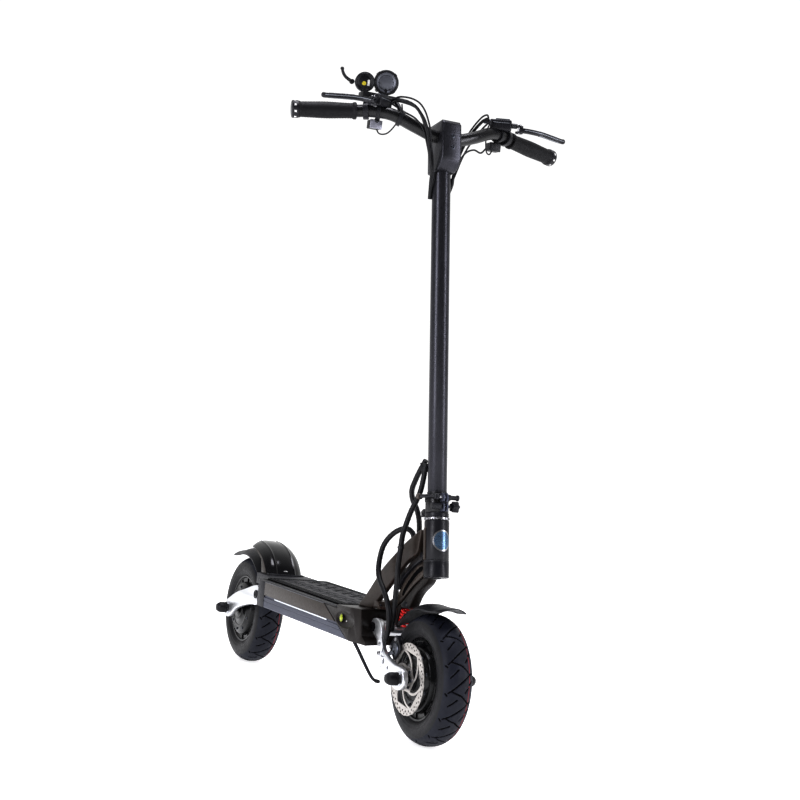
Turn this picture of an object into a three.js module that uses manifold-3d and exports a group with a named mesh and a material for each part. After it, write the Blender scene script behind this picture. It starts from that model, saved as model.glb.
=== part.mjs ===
// Electric kick scooter, in millimetres. X points forward, Y to the rider's left, Z up.
// The origin lies on the ground, half way between the two wheels.
import * as THREE from "three";
import { mergeVertices } from "three/addons/utils/BufferGeometryUtils.js";
import Module from "manifold-3d";

const wasm = await Module();
wasm.setup();

// Driving dimensions
const GAP = 0.3; // clearance between neighbours that touch
const HALF_BASE = 478; // half of the wheelbase
const TYRE_R = 127;
const TYRE_HALF_W = 34;
const AXLE_R = 8;
const ARM_IN = 58; // inner and outer faces of the swingarms
const ARM_OUT = 70;
const CAP_OUT = 97.5;
const DECK_HALF_W = 88;
const DECK_BOTTOM = 166;
const DECK_TOP = 224;
const RAKE = THREE.MathUtils.degToRad(11.11);
const HEAD = new THREE.Vector3(439, 0, 420); // a point on the steering axis
const STEM_R = 19;
const HEAD_TUBE_R = 24.5;
const FOLD_PIN = { x: -33, s: 28 }; // fold hinge, in the steering frame
const STEM_TOP = 780;
const FRONT_PIVOT = { x: 316, z: 203 };
const REAR_PIVOT = { x: -296, z: 184 };
const BAR_R = 12.7;
const GRIP_IN = new THREE.Vector3(245, 180, 1237);
const GRIP_OUT = new THREE.Vector3(210, 307, 1223);
const SLEEVE_R = 3.9;
const KICKSTAND_TOP = new THREE.Vector3(-120, 78, 158);
const KICKSTAND_FOOT = new THREE.Vector3(-49, 130, 40);
const KICKSTAND_AXIS = new THREE.Vector3(-0.02, 0.92, 0.39).normalize();

// Finishes: colour, roughness, metalness
const FINISH = {
  bronze: [0x5d4f49, 0.42, 0.6],
  stem: [0x3f3f47, 0.38, 0.7],
  satinBlack: [0x17171a, 0.45, 0.4],
  glossBlack: [0x101013, 0.22, 0.3],
  slate: [0x6a6c7c, 0.4, 0.6],
  polished: [0xd9d9dd, 0.22, 0.9],
  steel: [0xa9a5a4, 0.3, 0.95],
  spring: [0xc40d1c, 0.35, 0.3],
  tyre: [0x2c2c33, 0.85, 0],
  rubber: [0x1c1c20, 0.9, 0],
  mat: [0x3f3d47, 0.9, 0],
  plastic: [0x1a1a1e, 0.55, 0],
  silverPlastic: [0xb9b6c0, 0.4, 0.3],
  cable: [0x232329, 0.8, 0],
  cell: [0x2b4a8c, 0.6, 0],
  board: [0x1f5a3a, 0.6, 0],
};

// ---------- solids ----------

// A closed three.js geometry, or an existing solid, as a solid facing out.
function solid(shape) {
  if (!shape.isBufferGeometry) return shape;
  const bare = shape.index ? shape.toNonIndexed() : shape.clone();
  bare.deleteAttribute("normal");
  bare.deleteAttribute("uv");
  const merged = mergeVertices(bare, 1e-3);
  const vertProperties = merged.attributes.position.array;
  const triVerts = new Uint32Array(merged.index.array);
  const made = new wasm.Manifold(new wasm.Mesh({ numProp: 3, vertProperties, triVerts }));
  if (made.volume() > 0) return made;
  for (let i = 0; i < triVerts.length; i += 3) {
    [triVerts[i + 1], triVerts[i + 2]] = [triVerts[i + 2], triVerts[i + 1]];
  }
  return new wasm.Manifold(new wasm.Mesh({ numProp: 3, vertProperties, triVerts }));
}

function join(...shapes) {
  return shapes.map(solid).reduce((all, next) => all.add(next));
}

function common(a, b) {
  return solid(a).intersect(solid(b));
}

function cut(shape, ...tools) {
  return tools.map(solid).reduce((left, tool) => left.subtract(tool), solid(shape));
}

function toGeometry(shape) {
  const mesh = solid(shape).getMesh();
  const stride = mesh.numProp;
  const positions = new Float32Array(mesh.numVert * 3);
  for (let i = 0; i < mesh.numVert; i++) {
    positions.set(mesh.vertProperties.subarray(i * stride, i * stride + 3), i * 3);
  }
  const geometry = new THREE.BufferGeometry();
  geometry.setAttribute("position", new THREE.BufferAttribute(positions, 3));
  geometry.setIndex(new THREE.BufferAttribute(new Uint32Array(mesh.triVerts), 1));
  geometry.computeVertexNormals();
  return geometry;
}

const scooter = new THREE.Group();

// The steering frame: its Z runs up the steering axis and its X points forward.
const steering = new THREE.Group();
steering.position.copy(HEAD);
steering.rotation.y = -RAKE;
scooter.add(steering);

function addPart(name, shape, finish, group = scooter) {
  const [color, roughness, metalness] = finish;
  const material = new THREE.MeshStandardMaterial({ color, roughness, metalness });
  const mesh = new THREE.Mesh(toGeometry(shape), material);
  mesh.name = name;
  group.add(mesh);
}

function box(x0, x1, y0, y1, z0, z1) {
  const made = new THREE.BoxGeometry(x1 - x0, y1 - y0, z1 - z0);
  return made.translate((x0 + x1) / 2, (y0 + y1) / 2, (z0 + z1) / 2);
}

function rod(a, b, radius, sides = 10) {
  const axis = new THREE.Vector3().subVectors(b, a);
  const made = new THREE.CylinderGeometry(radius, radius, axis.length(), sides);
  const turn = new THREE.Quaternion().setFromUnitVectors(
    new THREE.Vector3(0, 1, 0),
    axis.clone().normalize(),
  );
  const middle = new THREE.Vector3().addVectors(a, b).multiplyScalar(0.5);
  return made.applyQuaternion(turn).translate(middle.x, middle.y, middle.z);
}

function acrossRod(x, z, radius, y0, y1, sides = 12) {
  return rod(new THREE.Vector3(x, y0, z), new THREE.Vector3(x, y1, z), radius, sides);
}

function uprightRod(x, y, radius, z0, z1, sides = 12) {
  return rod(new THREE.Vector3(x, y, z0), new THREE.Vector3(x, y, z1), radius, sides);
}

function outlineOf(points) {
  return new THREE.Shape(points.map(([u, v]) => new THREE.Vector2(u, v)));
}

// A prism whose outline is drawn in X and Y and whose height runs from z0 to z1.
function prism(outline, z0, z1) {
  const made = new THREE.ExtrudeGeometry(outlineOf(outline), {
    depth: z1 - z0,
    bevelEnabled: false,
  });
  return made.translate(0, 0, z0);
}

// A plate whose outline is drawn in X and Z and whose thickness runs from y0 to y1.
function plate(outline, y0, y1) {
  const made = new THREE.ExtrudeGeometry(outlineOf(outline), {
    depth: y1 - y0,
    bevelEnabled: false,
  });
  return made.rotateX(Math.PI / 2).translate(0, y1, 0);
}

// A solid turned about the Y axis from points of radius and y; the profile closes on itself.
function turnedY(profile, sides = 20) {
  const points = profile.map(([r, y]) => new THREE.Vector2(r, y));
  const first = points[0];
  if (first.x > 0) points.push(first.clone());
  return new THREE.LatheGeometry(points, sides);
}

function turnedZ(profile, sides = 20) {
  return turnedY(profile, sides).rotateX(Math.PI / 2);
}

// A round tube or cable through points chosen by hand.
function sweep(points, radius, steps, sides = 8) {
  const section = new THREE.Shape();
  for (let i = 0; i < sides; i++) {
    const a = (2 * Math.PI * i) / sides;
    if (i === 0) section.moveTo(radius, 0);
    else section.lineTo(radius * Math.cos(a), radius * Math.sin(a));
  }
  section.closePath();
  const path = Array.isArray(points)
    ? new THREE.CatmullRomCurve3(points.map((p) => new THREE.Vector3(...p)))
    : points;
  return new THREE.ExtrudeGeometry(section, { steps, extrudePath: path, curveSegments: 1 });
}

// A section of lateral and height coordinates, run along a curve in the XZ plane:
// along(t) gives the curve's point and the direction of the section's height.
function arch(section, steps, along) {
  const made = new THREE.ExtrudeGeometry(outlineOf(section), {
    depth: 1,
    steps,
    bevelEnabled: false,
  });
  return warp(made, (p) => {
    const { x, z, nx, nz } = along(p.z);
    return new THREE.Vector3(x + nx * p.y, p.x, z + nz * p.y);
  });
}

function warp(geometry, move) {
  const at = geometry.attributes.position;
  const p = new THREE.Vector3();
  for (let i = 0; i < at.count; i++) {
    p.fromBufferAttribute(at, i);
    const to = move(p);
    at.setXYZ(i, to.x, to.y, to.z);
  }
  return geometry;
}

function mirrored(geometry) {
  return geometry.clone().scale(1, -1, 1);
}

// ---------- frame: neck, deck and casings ----------

function neckCasting() {
  const legOutline = [
    [424, 412], [401, 399], [376, 384], [338, 355], [297, 321], [273, 294], [243, 260],
    [217, 232.3], [268, 234.8], [276, 252], [290, 277], [308, 292], [348, 326], [417, 368],
  ];
  const spread = (x) => 0.1 * (430 - x);
  const leg = (side) =>
    warp(plate(legOutline, 14, 26), (p) => {
      return new THREE.Vector3(p.x, side * (p.y + spread(p.x)), p.z);
    });
  const web = plate([[424, 406], [386, 388], [345, 356], [352, 348], [417, 366]], -24, 24);
  const lowerArm = plate(
    [
      [437, 350], [403, 338.5], [362, 306.5], [344, 284], [318, 262], [288, 252], [280, 240],
      [298, 238], [318, 248], [344, 264], [366, 283], [388, 299.5], [424, 322], [437, 326],
    ],
    -11,
    11,
  );
  const foot = box(262, 302, -40, 40, 236.2, 242);
  const tie = plate([[262, 242], [276, 254], [294, 252], [300, 238.5], [262, 236.8]], -42, 42);
  const tubeGroup = new THREE.Matrix4().compose(
    HEAD,
    new THREE.Quaternion().setFromEuler(new THREE.Euler(0, -RAKE, 0)),
    new THREE.Vector3(1, 1, 1),
  );
  const tube = turnedZ([[0, -65.2], [HEAD_TUBE_R, -65.2], [HEAD_TUBE_R, 12.2], [0, 12.2]])
    .applyMatrix4(tubeGroup);
  const arms = turnedZ([[0, -120], [HEAD_TUBE_R - 2, -120], [HEAD_TUBE_R - 2, 30], [0, 30]])
    .applyMatrix4(tubeGroup);
  const bore = turnedZ([
    [0, -70], [19.4, -70], [19.4, -50], [15.4, -50], [15.4, -4], [19.4, -4], [19.4, 20], [0, 20],
  ]).applyMatrix4(tubeGroup);
  const cupRoom = turnedZ([[0, -140], [25.4, -140], [25.4, -64.9], [0, -64.9]], 24)
    .applyMatrix4(tubeGroup);
  const ring = cut(tube, bore);
  const body = cut(join(leg(1), leg(-1), web, lowerArm, foot, tie), arms, cupRoom);
  addPart("neck_casting", join(ring, body), FINISH.bronze);
}

function headset() {
  const bearing = (s0, s1) => turnedZ([[14.9, s0], [19.1, s0], [19.1, s1], [14.9, s1]], 24);
  addPart("lower_bearing", bearing(-64, -50.4), FINISH.steel, steering);
  addPart("upper_bearing", bearing(-3.6, 11), FINISH.steel, steering);
  const cup = turnedZ([[14.9, -97], [23.5, -97], [25, -95.5], [25, -65.6], [14.9, -65.6]]);
  addPart("lower_headset_cup", cup, FINISH.satinBlack, steering);
}

function deck() {
  const tray = plate([[-205, DECK_BOTTOM], [264.5, DECK_BOTTOM], [135.5, DECK_TOP], [-205, DECK_TOP]], -86, 86);
  const room = plate([[-200, 170], [249, 170], [120, 240], [-200, 240]], -81, 81);
  const standEar = box(-134, -106, 66, 70.5, 150, DECK_BOTTOM + 1);
  addPart("deck_chassis", cut(join(tray, standEar), room), FINISH.slate);

  const lid = box(-236, 201, -DECK_HALF_W, DECK_HALF_W, DECK_TOP + GAP, 227.7);
  addPart("deck_lid", lid, FINISH.satinBlack);
  const mat = new THREE.ExtrudeGeometry(
    outlineOf([[-228, -70], [-222, -77], [188, -77], [196, -69], [196, 69], [188, 77], [-222, 77], [-228, 70]]),
    { depth: 3.3, bevelEnabled: false },
  );
  addPart("footboard_mat", mat.translate(0, 0, 228), FINISH.mat);

  for (const [side, word] of [[-1, "right"], [1, "left"]]) {
    const trim = box(-203, 131, 86 + GAP, DECK_HALF_W + 0.3, 201, 223.5);
    addPart(`side_trim_${word}`, side < 0 ? mirrored(trim) : trim, FINISH.bronze);
  }
  addPart("battery_pack", box(-192, 128, -76, 76, 172, 216), FINISH.cell);
  addPart("motor_controller", box(134, 190, -58, 58, 173, 198), FINISH.board);
}

function frontCasing() {
  const side = [[136.3, DECK_TOP], [202, DECK_TOP], [202, 230.7], [320, 236], [346, DECK_BOTTOM], [266, DECK_BOTTOM]];
  const shell = plate(side, -DECK_HALF_W, DECK_HALF_W);
  const room = plate([[100, 220], [200, 220], [204, 226], [279, 230], [280, 171], [220, 171]], -80, 80);
  const sweepRoom = turnedZ([[0, -262], [168, -262], [174, -222], [187.5, -208], [187.5, -110], [0, -110]], 60)
    .rotateY(-RAKE)
    .translate(HEAD.x, HEAD.y, HEAD.z);
  const corner = (s) => {
    const wedge = new THREE.ExtrudeGeometry(outlineOf([[268, 88.1], [300, 80], [360, 72], [360, 90], [268, 90]]), {
      depth: 100,
      bevelEnabled: false,
    });
    return wedge.translate(0, 0, 150).scale(1, s, 1);
  };
  const lampRecess = (s) => {
    const oval = new THREE.CylinderGeometry(18, 18, 6, 28).scale(3.1, 1, 1);
    return oval.translate(255, s * DECK_HALF_W, 206);
  };
  const body = cut(shell, room, sweepRoom, corner(1), corner(-1), lampRecess(1), lampRecess(-1));
  addPart("front_casing", body, FINISH.satinBlack);
}

function rearCasing() {
  const core = plate(
    [
      [-205.5, DECK_BOTTOM], [-205.5, DECK_TOP], [-236.5, DECK_TOP], [-236.5, 230.8], [-342, 230.8],
      [-342, 206.5], [-306, 206.5], [-311, 198], [-311, 172], [-290, DECK_BOTTOM],
    ],
    -55,
    55,
  );
  const wings = new THREE.ExtrudeGeometry(
    outlineOf([[-205.5, -88], [-205.5, 88], [-240, 88], [-268, 78], [-268, -78], [-240, -88]]),
    { depth: DECK_TOP - DECK_BOTTOM, bevelEnabled: false },
  ).translate(0, 0, DECK_BOTTOM);
  const pivotHole = acrossRod(REAR_PIVOT.x, REAR_PIVOT.z, 6.4, -60, 60);
  const room = box(-260, -200, -50, 50, 172, 218);
  addPart("rear_casing", cut(join(core, wings), pivotHole, room), FINISH.satinBlack);

  const bolt = turnedY([[0, -74], [10, -74], [10, -70.4], [6, -70.4], [6, 70.4], [10, 70.4], [10, 74], [0, 74]], 16);
  addPart("rear_pivot_bolt", bolt.translate(REAR_PIVOT.x, 0, REAR_PIVOT.z), FINISH.steel);
}

// The raised plate that the rear foot pushes against, as a hood over the front of the rear wheel.
function kickPlate() {
  const crest = new THREE.SplineCurve([
    new THREE.Vector2(-292, 231.2),
    new THREE.Vector2(-309, 256),
    new THREE.Vector2(-334, 278),
    new THREE.Vector2(-365, 293),
    new THREE.Vector2(-395, 300),
    new THREE.Vector2(-427, 302),
  ]);
  const top = arch([[-45, -3.5], [45, -3.5], [45, 0], [-45, 0]], 10, (t) => {
    const at = crest.getPoint(t);
    const tangent = crest.getTangent(t);
    return { x: at.x, z: at.y, nx: tangent.y, nz: -tangent.x };
  });
  const rim = crest.getPoints(10).map((p) => [p.x - 0.6, p.y - 0.6]);
  const wall = plate([...rim.slice(0, 8), [-362, 285], [-342, 231.2]], 41.5, 45);
  const floor = box(-342, -293, -45, 45, 231.1, 234);
  const below = box(-460, -280, -60, 60, 200, 231.1);
  addPart("kick_plate", cut(join(top, wall, mirrored(wall), floor), below), FINISH.satinBlack);
}

function rearSpring() {
  addPart("rear_spring", coil(new THREE.Vector3(-328, 0, 180), new THREE.Vector3(-326, 0, 205.6), 12, 2.4, 3), FINISH.spring);
}

// A coil spring between the centres of its two seats.
function coil(bottom, top, radius, wire, turns) {
  const axis = new THREE.Vector3().subVectors(top, bottom);
  const rise = axis.length() - 2 * (wire + GAP);
  const points = [];
  const perTurn = 8;
  for (let i = 0; i <= turns * perTurn; i++) {
    const a = (2 * Math.PI * i) / perTurn;
    const h = wire + GAP + (rise * i) / (turns * perTurn);
    points.push(new THREE.Vector3(radius * Math.cos(a), radius * Math.sin(a), h));
  }
  const path = new THREE.CatmullRomCurve3(points);
  const made = sweep(path, wire, turns * perTurn, 5);
  const turn = new THREE.Quaternion().setFromUnitVectors(new THREE.Vector3(0, 0, 1), axis.clone().normalize());
  return made.applyQuaternion(turn).translate(bottom.x, bottom.y, bottom.z);
}

// ---------- steered front end ----------

function fork() {
  const crown = turnedZ([[0, -112], [20, -112], [23.5, -108], [23.5, -97.6], [0, -97.6]])
    .rotateY(-RAKE)
    .translate(HEAD.x, HEAD.y, HEAD.z);
  const steerer = turnedZ([[0, -110], [14.4, -110], [14.4, 20.5], [0, 20.5]], 24)
    .rotateY(-RAKE)
    .translate(HEAD.x, HEAD.y, HEAD.z);
  const arm = plate(
    [
      [470, 316], [450, 312], [425, 300], [406, 287.5], [392.5, 274], [383, 260], [377, 250.8],
      [341, 250.8], [334, 238], [327, 220], [327, 203], [316, 190], [303, 203], [298, 218],
      [303, 232], [319.4, 244], [345.5, 260.9], [367.5, 279.8], [389.5, 296.6], [424, 317], [440, 318],
    ],
    -11,
    11,
  );
  const seat = turnedZ([[0, 250.7], [17.5, 250.7], [17.5, 256], [12, 262], [0, 262]], 20).translate(357.5, 0, 0);
  const boss = acrossRod(FRONT_PIVOT.x, FRONT_PIVOT.z, 13.5, -11, 11);
  const pinHole = acrossRod(FRONT_PIVOT.x, FRONT_PIVOT.z, 6.4, -60, 60);
  addPart("fork", cut(join(crown, steerer, arm, seat, boss), pinHole), FINISH.satinBlack);

  addPart("front_spring", coil(new THREE.Vector3(347, 0, 210), new THREE.Vector3(358, 0, 249.6), 13.5, 3, 4), FINISH.spring);

  const bolt = turnedY([[0, -58], [9, -58], [9, -55.4], [6, -55.4], [6, 55.4], [9, 55.4], [9, 58], [0, 58]], 16);
  addPart("front_pivot_bolt", bolt.translate(FRONT_PIVOT.x, 0, FRONT_PIVOT.z), FINISH.steel);

  const teeth = 10;
  const ring = turnedZ([[14.9, 13.2], [23.6, 13.2], [23.6, 18.6], [14.9, 18.6]]);
  const cogs = Array.from({ length: teeth }, (_, i) =>
    box(22.5, 25.4, -2.3, 2.3, 13.6, 18.2).rotateZ((2 * Math.PI * i) / teeth),
  );
  addPart("lock_ring", join(ring, ...cogs), FINISH.steel, steering);
}

function hinge() {
  const collar = turnedZ([[14.9, 19.1], [23.5, 19.1], [23.5, 27.6], [14.9, 27.6]]);
  const plug = turnedZ([[0, 21], [16, 21], [16, 27.6], [0, 27.6]]);
  const neck = box(FOLD_PIN.x, -20, -8, 8, 20, 27.6);
  const knuckle = acrossRod(FOLD_PIN.x, FOLD_PIN.s, 6.5, -8, 8);
  const pin = acrossRod(FOLD_PIN.x, FOLD_PIN.s, 3, -18, 18, 12);
  addPart("stem_hinge_base", join(collar, plug, neck, knuckle, pin), FINISH.satinBlack, steering);
}

// ---------- stem ----------

const CLAMP_TOP = 64;
const CLAMP_BOLT_X = 31;
const UPPER_BOLT_S = 56;
const LOWER_BOLT_S = 38;

function stem() {
  const tube = turnedZ([[16.5, 30], [STEM_R, 30], [STEM_R, STEM_TOP], [16.5, STEM_TOP]], 24);
  const cableHole = rod(new THREE.Vector3(-26, -14, 108), new THREE.Vector3(-10, -6, 108), 5, 10);
  addPart("stem_tube", cut(tube, cableHole), FINISH.stem, steering);

  const collar = turnedZ([[STEM_R + GAP, 28.3], [24.3, 28.3], [24.3, CLAMP_TOP], [STEM_R + GAP, CLAMP_TOP]], 24);
  const flange = (s) => box(20, 38, Math.min(s * 1.6, s * 5.6), Math.max(s * 1.6, s * 5.6), 28.3, CLAMP_TOP);
  const slit = box(18, 40, -1.6, 1.6, 20, 70);
  const boltHole = acrossRod(CLAMP_BOLT_X, LOWER_BOLT_S, 3.4, -20, 20, 12);
  const upperBolt = acrossRod(CLAMP_BOLT_X, UPPER_BOLT_S, 3, -12, 14, 12);
  const boltHead = acrossRod(CLAMP_BOLT_X, UPPER_BOLT_S, 6, 7, 30, 8);
  const ear = (s) => {
    const y0 = Math.min(s * 8.4, s * 16);
    const lug = acrossRod(FOLD_PIN.x, FOLD_PIN.s, 6.5, y0, y0 + 7.6);
    const arm = box(FOLD_PIN.x - 4, -18, y0, y0 + 7.6, 28.3, 38);
    return join(lug, arm);
  };
  const pinHole = acrossRod(FOLD_PIN.x, FOLD_PIN.s, 3.3, -20, 20, 12);
  const tubeRoom = turnedZ([[0, 20], [STEM_R + GAP, 20], [STEM_R + GAP, 80], [0, 80]], 24);
  const body = cut(join(collar, flange(1), flange(-1), ear(1), ear(-1)), slit, boltHole, pinHole, tubeRoom);
  addPart("clamp_collar", join(body, upperBolt, boltHead), FINISH.satinBlack, steering);
}

function clampControls() {
  // The quick-release lever lies back along the collar's right side.
  const hub = uprightRod(CLAMP_BOLT_X, -18, 5.5, UPPER_BOLT_S - 5, UPPER_BOLT_S + 5, 12);
  const handle = sweep(
    [[31, -21, 57], [20, -29, 58], [6, -32.5, 59], [-8, -33.5, 60]],
    3.4,
    8,
  );
  const end = rod(new THREE.Vector3(-17, -33.4, 60.5), new THREE.Vector3(-6, -33.4, 59.8), 6, 10);
  addPart("clamp_lever", join(hub, handle, end), FINISH.satinBlack, steering);

  const knobStart = 15.5;
  const shaft = acrossRod(CLAMP_BOLT_X, LOWER_BOLT_S, 3, -29, knobStart + 1, 12);
  const nut = acrossRod(CLAMP_BOLT_X, LOWER_BOLT_S, 6, -29, -8, 12);
  const star = new THREE.Shape();
  const lobes = 5;
  const outlinePoints = 30;
  for (let i = 0; i < outlinePoints; i++) {
    const a = (2 * Math.PI * i) / outlinePoints;
    const r = 9.6 + 1.8 * Math.cos(lobes * a);
    if (i === 0) star.moveTo(r, 0);
    else star.lineTo(r * Math.cos(a), r * Math.sin(a));
  }
  const knob = new THREE.ExtrudeGeometry(star, { depth: 14, bevelEnabled: false, curveSegments: 1 })
    .rotateX(-Math.PI / 2)
    .translate(CLAMP_BOLT_X, knobStart, LOWER_BOLT_S);
  addPart("clamp_knob", join(shaft, nut, knob), FINISH.satinBlack, steering);
}

// ---------- handlebar ----------

const barHalf = [
  [300, 0, 1205],
  [300, 26, 1205],
  [294, 70, 1219],
  [277, 115, 1237],
  [259, 152, 1240],
  [GRIP_IN.x, GRIP_IN.y, GRIP_IN.z],
  [(GRIP_IN.x + GRIP_OUT.x) / 2, (GRIP_IN.y + GRIP_OUT.y) / 2, (GRIP_IN.z + GRIP_OUT.z) / 2],
  [213, 298, 1224],
];
const barPath = new THREE.CatmullRomCurve3(
  [
    ...barHalf.slice(1).reverse().map(([x, y, z]) => new THREE.Vector3(x, -y, z)),
    ...barHalf.map((p) => new THREE.Vector3(...p)),
  ],
  false,
  "centripetal",
);

// The bar's point and direction at a lateral position.
function barAt(y) {
  let low = 0;
  let high = 1;
  for (let i = 0; i < 30; i++) {
    const mid = (low + high) / 2;
    if (barPath.getPoint(mid).y < y) low = mid;
    else high = mid;
  }
  return { point: barPath.getPoint(low), along: barPath.getTangent(low) };
}

// A clamp ring round the bar.
function barRing(y, width, outer, inner = BAR_R + 1) {
  const half = width / 2;
  const { point, along } = barAt(y);
  const turn = new THREE.Quaternion().setFromUnitVectors(new THREE.Vector3(0, 1, 0), along);
  return turnedY([[inner, -half], [outer, -half], [outer, half], [inner, half]], 14)
    .applyQuaternion(turn)
    .translate(point.x, point.y, point.z);
}

function barRoom(y, width) {
  const { point, along } = barAt(y);
  const reach = along.clone().multiplyScalar(width);
  return rod(point.clone().sub(reach), point.clone().add(reach), BAR_R + 0.8, 14);
}

function handlebar() {
  addPart("handlebar", sweep(barPath, BAR_R, 32, 10), FINISH.glossBlack);

  const block = new THREE.ExtrudeGeometry(
    outlineOf([[-22, 724], [-22, 826], [41, 826], [46, 821], [46, 746], [40, 736], [27, 728], [18, 724]]),
    { depth: 44, bevelEnabled: false },
  )
    .rotateX(Math.PI / 2)
    .translate(0, 22, 0);
  const tubeRoom = uprightRod(0, 0, STEM_R + GAP, 700, STEM_TOP + GAP, 24);
  const tunnel = sweep([[300, -40, 1205], [300, 0, 1205], [300, 40, 1205]], BAR_R + 1.2, 2, 16)
    .translate(-HEAD.x, 0, -HEAD.z)
    .rotateY(RAKE);
  addPart("bar_clamp_head", cut(block, tubeRoom, tunnel), FINISH.stem, steering);

  const length = GRIP_OUT.distanceTo(GRIP_IN);
  const along = new THREE.Vector3().subVectors(GRIP_OUT, GRIP_IN).normalize();
  const turn = new THREE.Quaternion().setFromUnitVectors(new THREE.Vector3(0, 1, 0), along);
  const inner = BAR_R + 1.1;
  const grip = turnedY(
    [
      [inner, 0], [17.6, 0], [17.6, 7], [15.6, 9], [16.6, 40], [16.9, 80], [16.2, 118],
      [17.8, 120], [17.8, length - 2], [15.5, length], [0, length], [0, length - 4], [inner, length - 4],
    ].reverse(),
    16,
  );
  const placed = grip.applyQuaternion(turn).translate(GRIP_IN.x, GRIP_IN.y, GRIP_IN.z);
  addPart("grip_left", placed, FINISH.rubber);
  addPart("grip_right", mirrored(placed), FINISH.rubber);
}

const LEVER_PIVOT = new THREE.Vector3(300, 170, 1252);

function brakeControls() {
  // Perch: a clamp on the bar with a slotted body that reaches forward to the lever's pivot.
  const ring = barRing(162, 10, 18);
  const body = box(-34, 12, -10, 10, 0.6, 14)
    .rotateZ(THREE.MathUtils.degToRad(58))
    .translate(282, 147, 1257);
  const mouth = uprightRod(LEVER_PIVOT.x, LEVER_PIVOT.y, 13, LEVER_PIVOT.z - 4.4, LEVER_PIVOT.z + 4.4, 16);
  const cheek = uprightRod(LEVER_PIVOT.x, LEVER_PIVOT.y, 8, LEVER_PIVOT.z - 8, LEVER_PIVOT.z + 14, 16);
  const bridge = rod(new THREE.Vector3(282, 152, 1258), LEVER_PIVOT, 7.8, 10);
  const strut = rod(new THREE.Vector3(262, 161, 1254), new THREE.Vector3(282, 154, 1261), 6, 10);
  const pin = uprightRod(LEVER_PIVOT.x, LEVER_PIVOT.y, 2.5, LEVER_PIVOT.z - 6, LEVER_PIVOT.z + 12, 10);
  const perch = join(cut(join(ring, body, bridge, strut, cheek), mouth, barRoom(162, 34)), pin);

  const blade = (y) => {
    const s = y / 107;
    return 300 + 6 * s + 5 * Math.sin(s * 5);
  };
  const outline = new THREE.Shape();
  const half = (s) => 6.5 - 1.6 * s;
  const steps = 12;
  for (let i = 0; i <= steps; i++) {
    const s = i / steps;
    const p = new THREE.Vector2(blade(107 * s) + half(s), LEVER_PIVOT.y + 107 * s);
    if (i === 0) outline.moveTo(p.x, p.y);
    else outline.lineTo(p.x, p.y);
  }
  for (let i = steps; i >= 0; i--) {
    const s = i / steps;
    outline.lineTo(blade(107 * s) - half(s), LEVER_PIVOT.y + 107 * s);
  }
  const arm = new THREE.ExtrudeGeometry(outline, { depth: 8, bevelEnabled: false, curveSegments: 1 })
    .translate(0, 0, LEVER_PIVOT.z - 4);
  const eye = uprightRod(LEVER_PIVOT.x, LEVER_PIVOT.y, 7, LEVER_PIVOT.z - 4, LEVER_PIVOT.z + 4, 14);
  const tip = new THREE.SphereGeometry(5.6, 10, 8).translate(blade(107), LEVER_PIVOT.y + 107, LEVER_PIVOT.z);
  const hole = uprightRod(LEVER_PIVOT.x, LEVER_PIVOT.y, 2.9, LEVER_PIVOT.z - 8, LEVER_PIVOT.z + 8, 10);
  const lever = cut(join(arm, eye, tip), hole);

  addPart("brake_perch_left", perch, FINISH.satinBlack);
  addPart("brake_perch_right", mirrored(toGeometry(perch)), FINISH.satinBlack);
  addPart("brake_lever_left", lever, FINISH.satinBlack);
  addPart("brake_lever_right", mirrored(toGeometry(lever)), FINISH.satinBlack);
}

const DISPLAY = new THREE.Vector3(240, -166, 1299);
const LAMP = new THREE.Vector3(245, -121, 1305);
const FACING = new THREE.Vector3(0.95, -0.28, -0.1).normalize();
const TRIGGER_PIVOT = new THREE.Vector3(232, -190.5, 1297);

// Turns a solid made about Y to face along FACING, at a place.
function facing(geometry, place) {
  const turn = new THREE.Quaternion().setFromUnitVectors(new THREE.Vector3(0, 1, 0), FACING);
  return geometry.applyQuaternion(turn).translate(place.x, place.y, place.z);
}

function cockpit() {
  // One bracket carries both units: a clamp on the bar, a leg and a shelf.
  const ring = barRing(-98, 8, 16.5);
  const leg = rod(new THREE.Vector3(283, -98, 1244), new THREE.Vector3(252, -104, 1278), 5, 8);
  const shelf = box(240, 262, -176, -100, 1274, 1277);
  const displayFoot = rod(new THREE.Vector3(244, -166, 1276), DISPLAY.clone().addScaledVector(FACING, -2), 6, 8);
  const shell = facing(
    turnedY([[0, -11], [16, -11], [19.5, -7], [19.5, 8], [17.5, 10], [16, 8.6], [0, 8.6]].reverse(), 20),
    DISPLAY,
  );
  const bracket = cut(join(leg, ring), barRoom(-98, 30));
  addPart("display_unit", join(shell, displayFoot, shelf, bracket), FINISH.plastic);

  // The finger throttle turns on a hub at the display's outer side.
  const hub = facing(turnedY([[0, -5], [5, -5], [5, 5], [0, 5]].reverse(), 12), TRIGGER_PIVOT);
  const finger = sweep(
    [TRIGGER_PIVOT.toArray(), [236, -199, 1299], [236, -208, 1304], [237, -214, 1311], [238, -217, 1318]],
    3,
    7,
  );
  const tip = new THREE.SphereGeometry(4, 8, 6).translate(238, -217, 1318);
  addPart("throttle_trigger", join(hub, finger, tip), FINISH.plastic);

  const lampFoot = rod(new THREE.Vector3(249, -121, 1277.3), LAMP.clone().addScaledVector(FACING, -4), 6, 8);
  const bezel = facing(
    turnedY([[0, -13], [19, -13], [24.5, -6], [25.4, 9], [23, 11], [20, 9], [16.5, 3], [15.5, 5.5], [0, 5.5]].reverse(), 24),
    LAMP,
  );
  const above = box(200, 300, -160, -80, 1240, 1277.3);
  addPart("headlamp", cut(join(bezel, lampFoot), above), FINISH.plastic);
}

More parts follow.
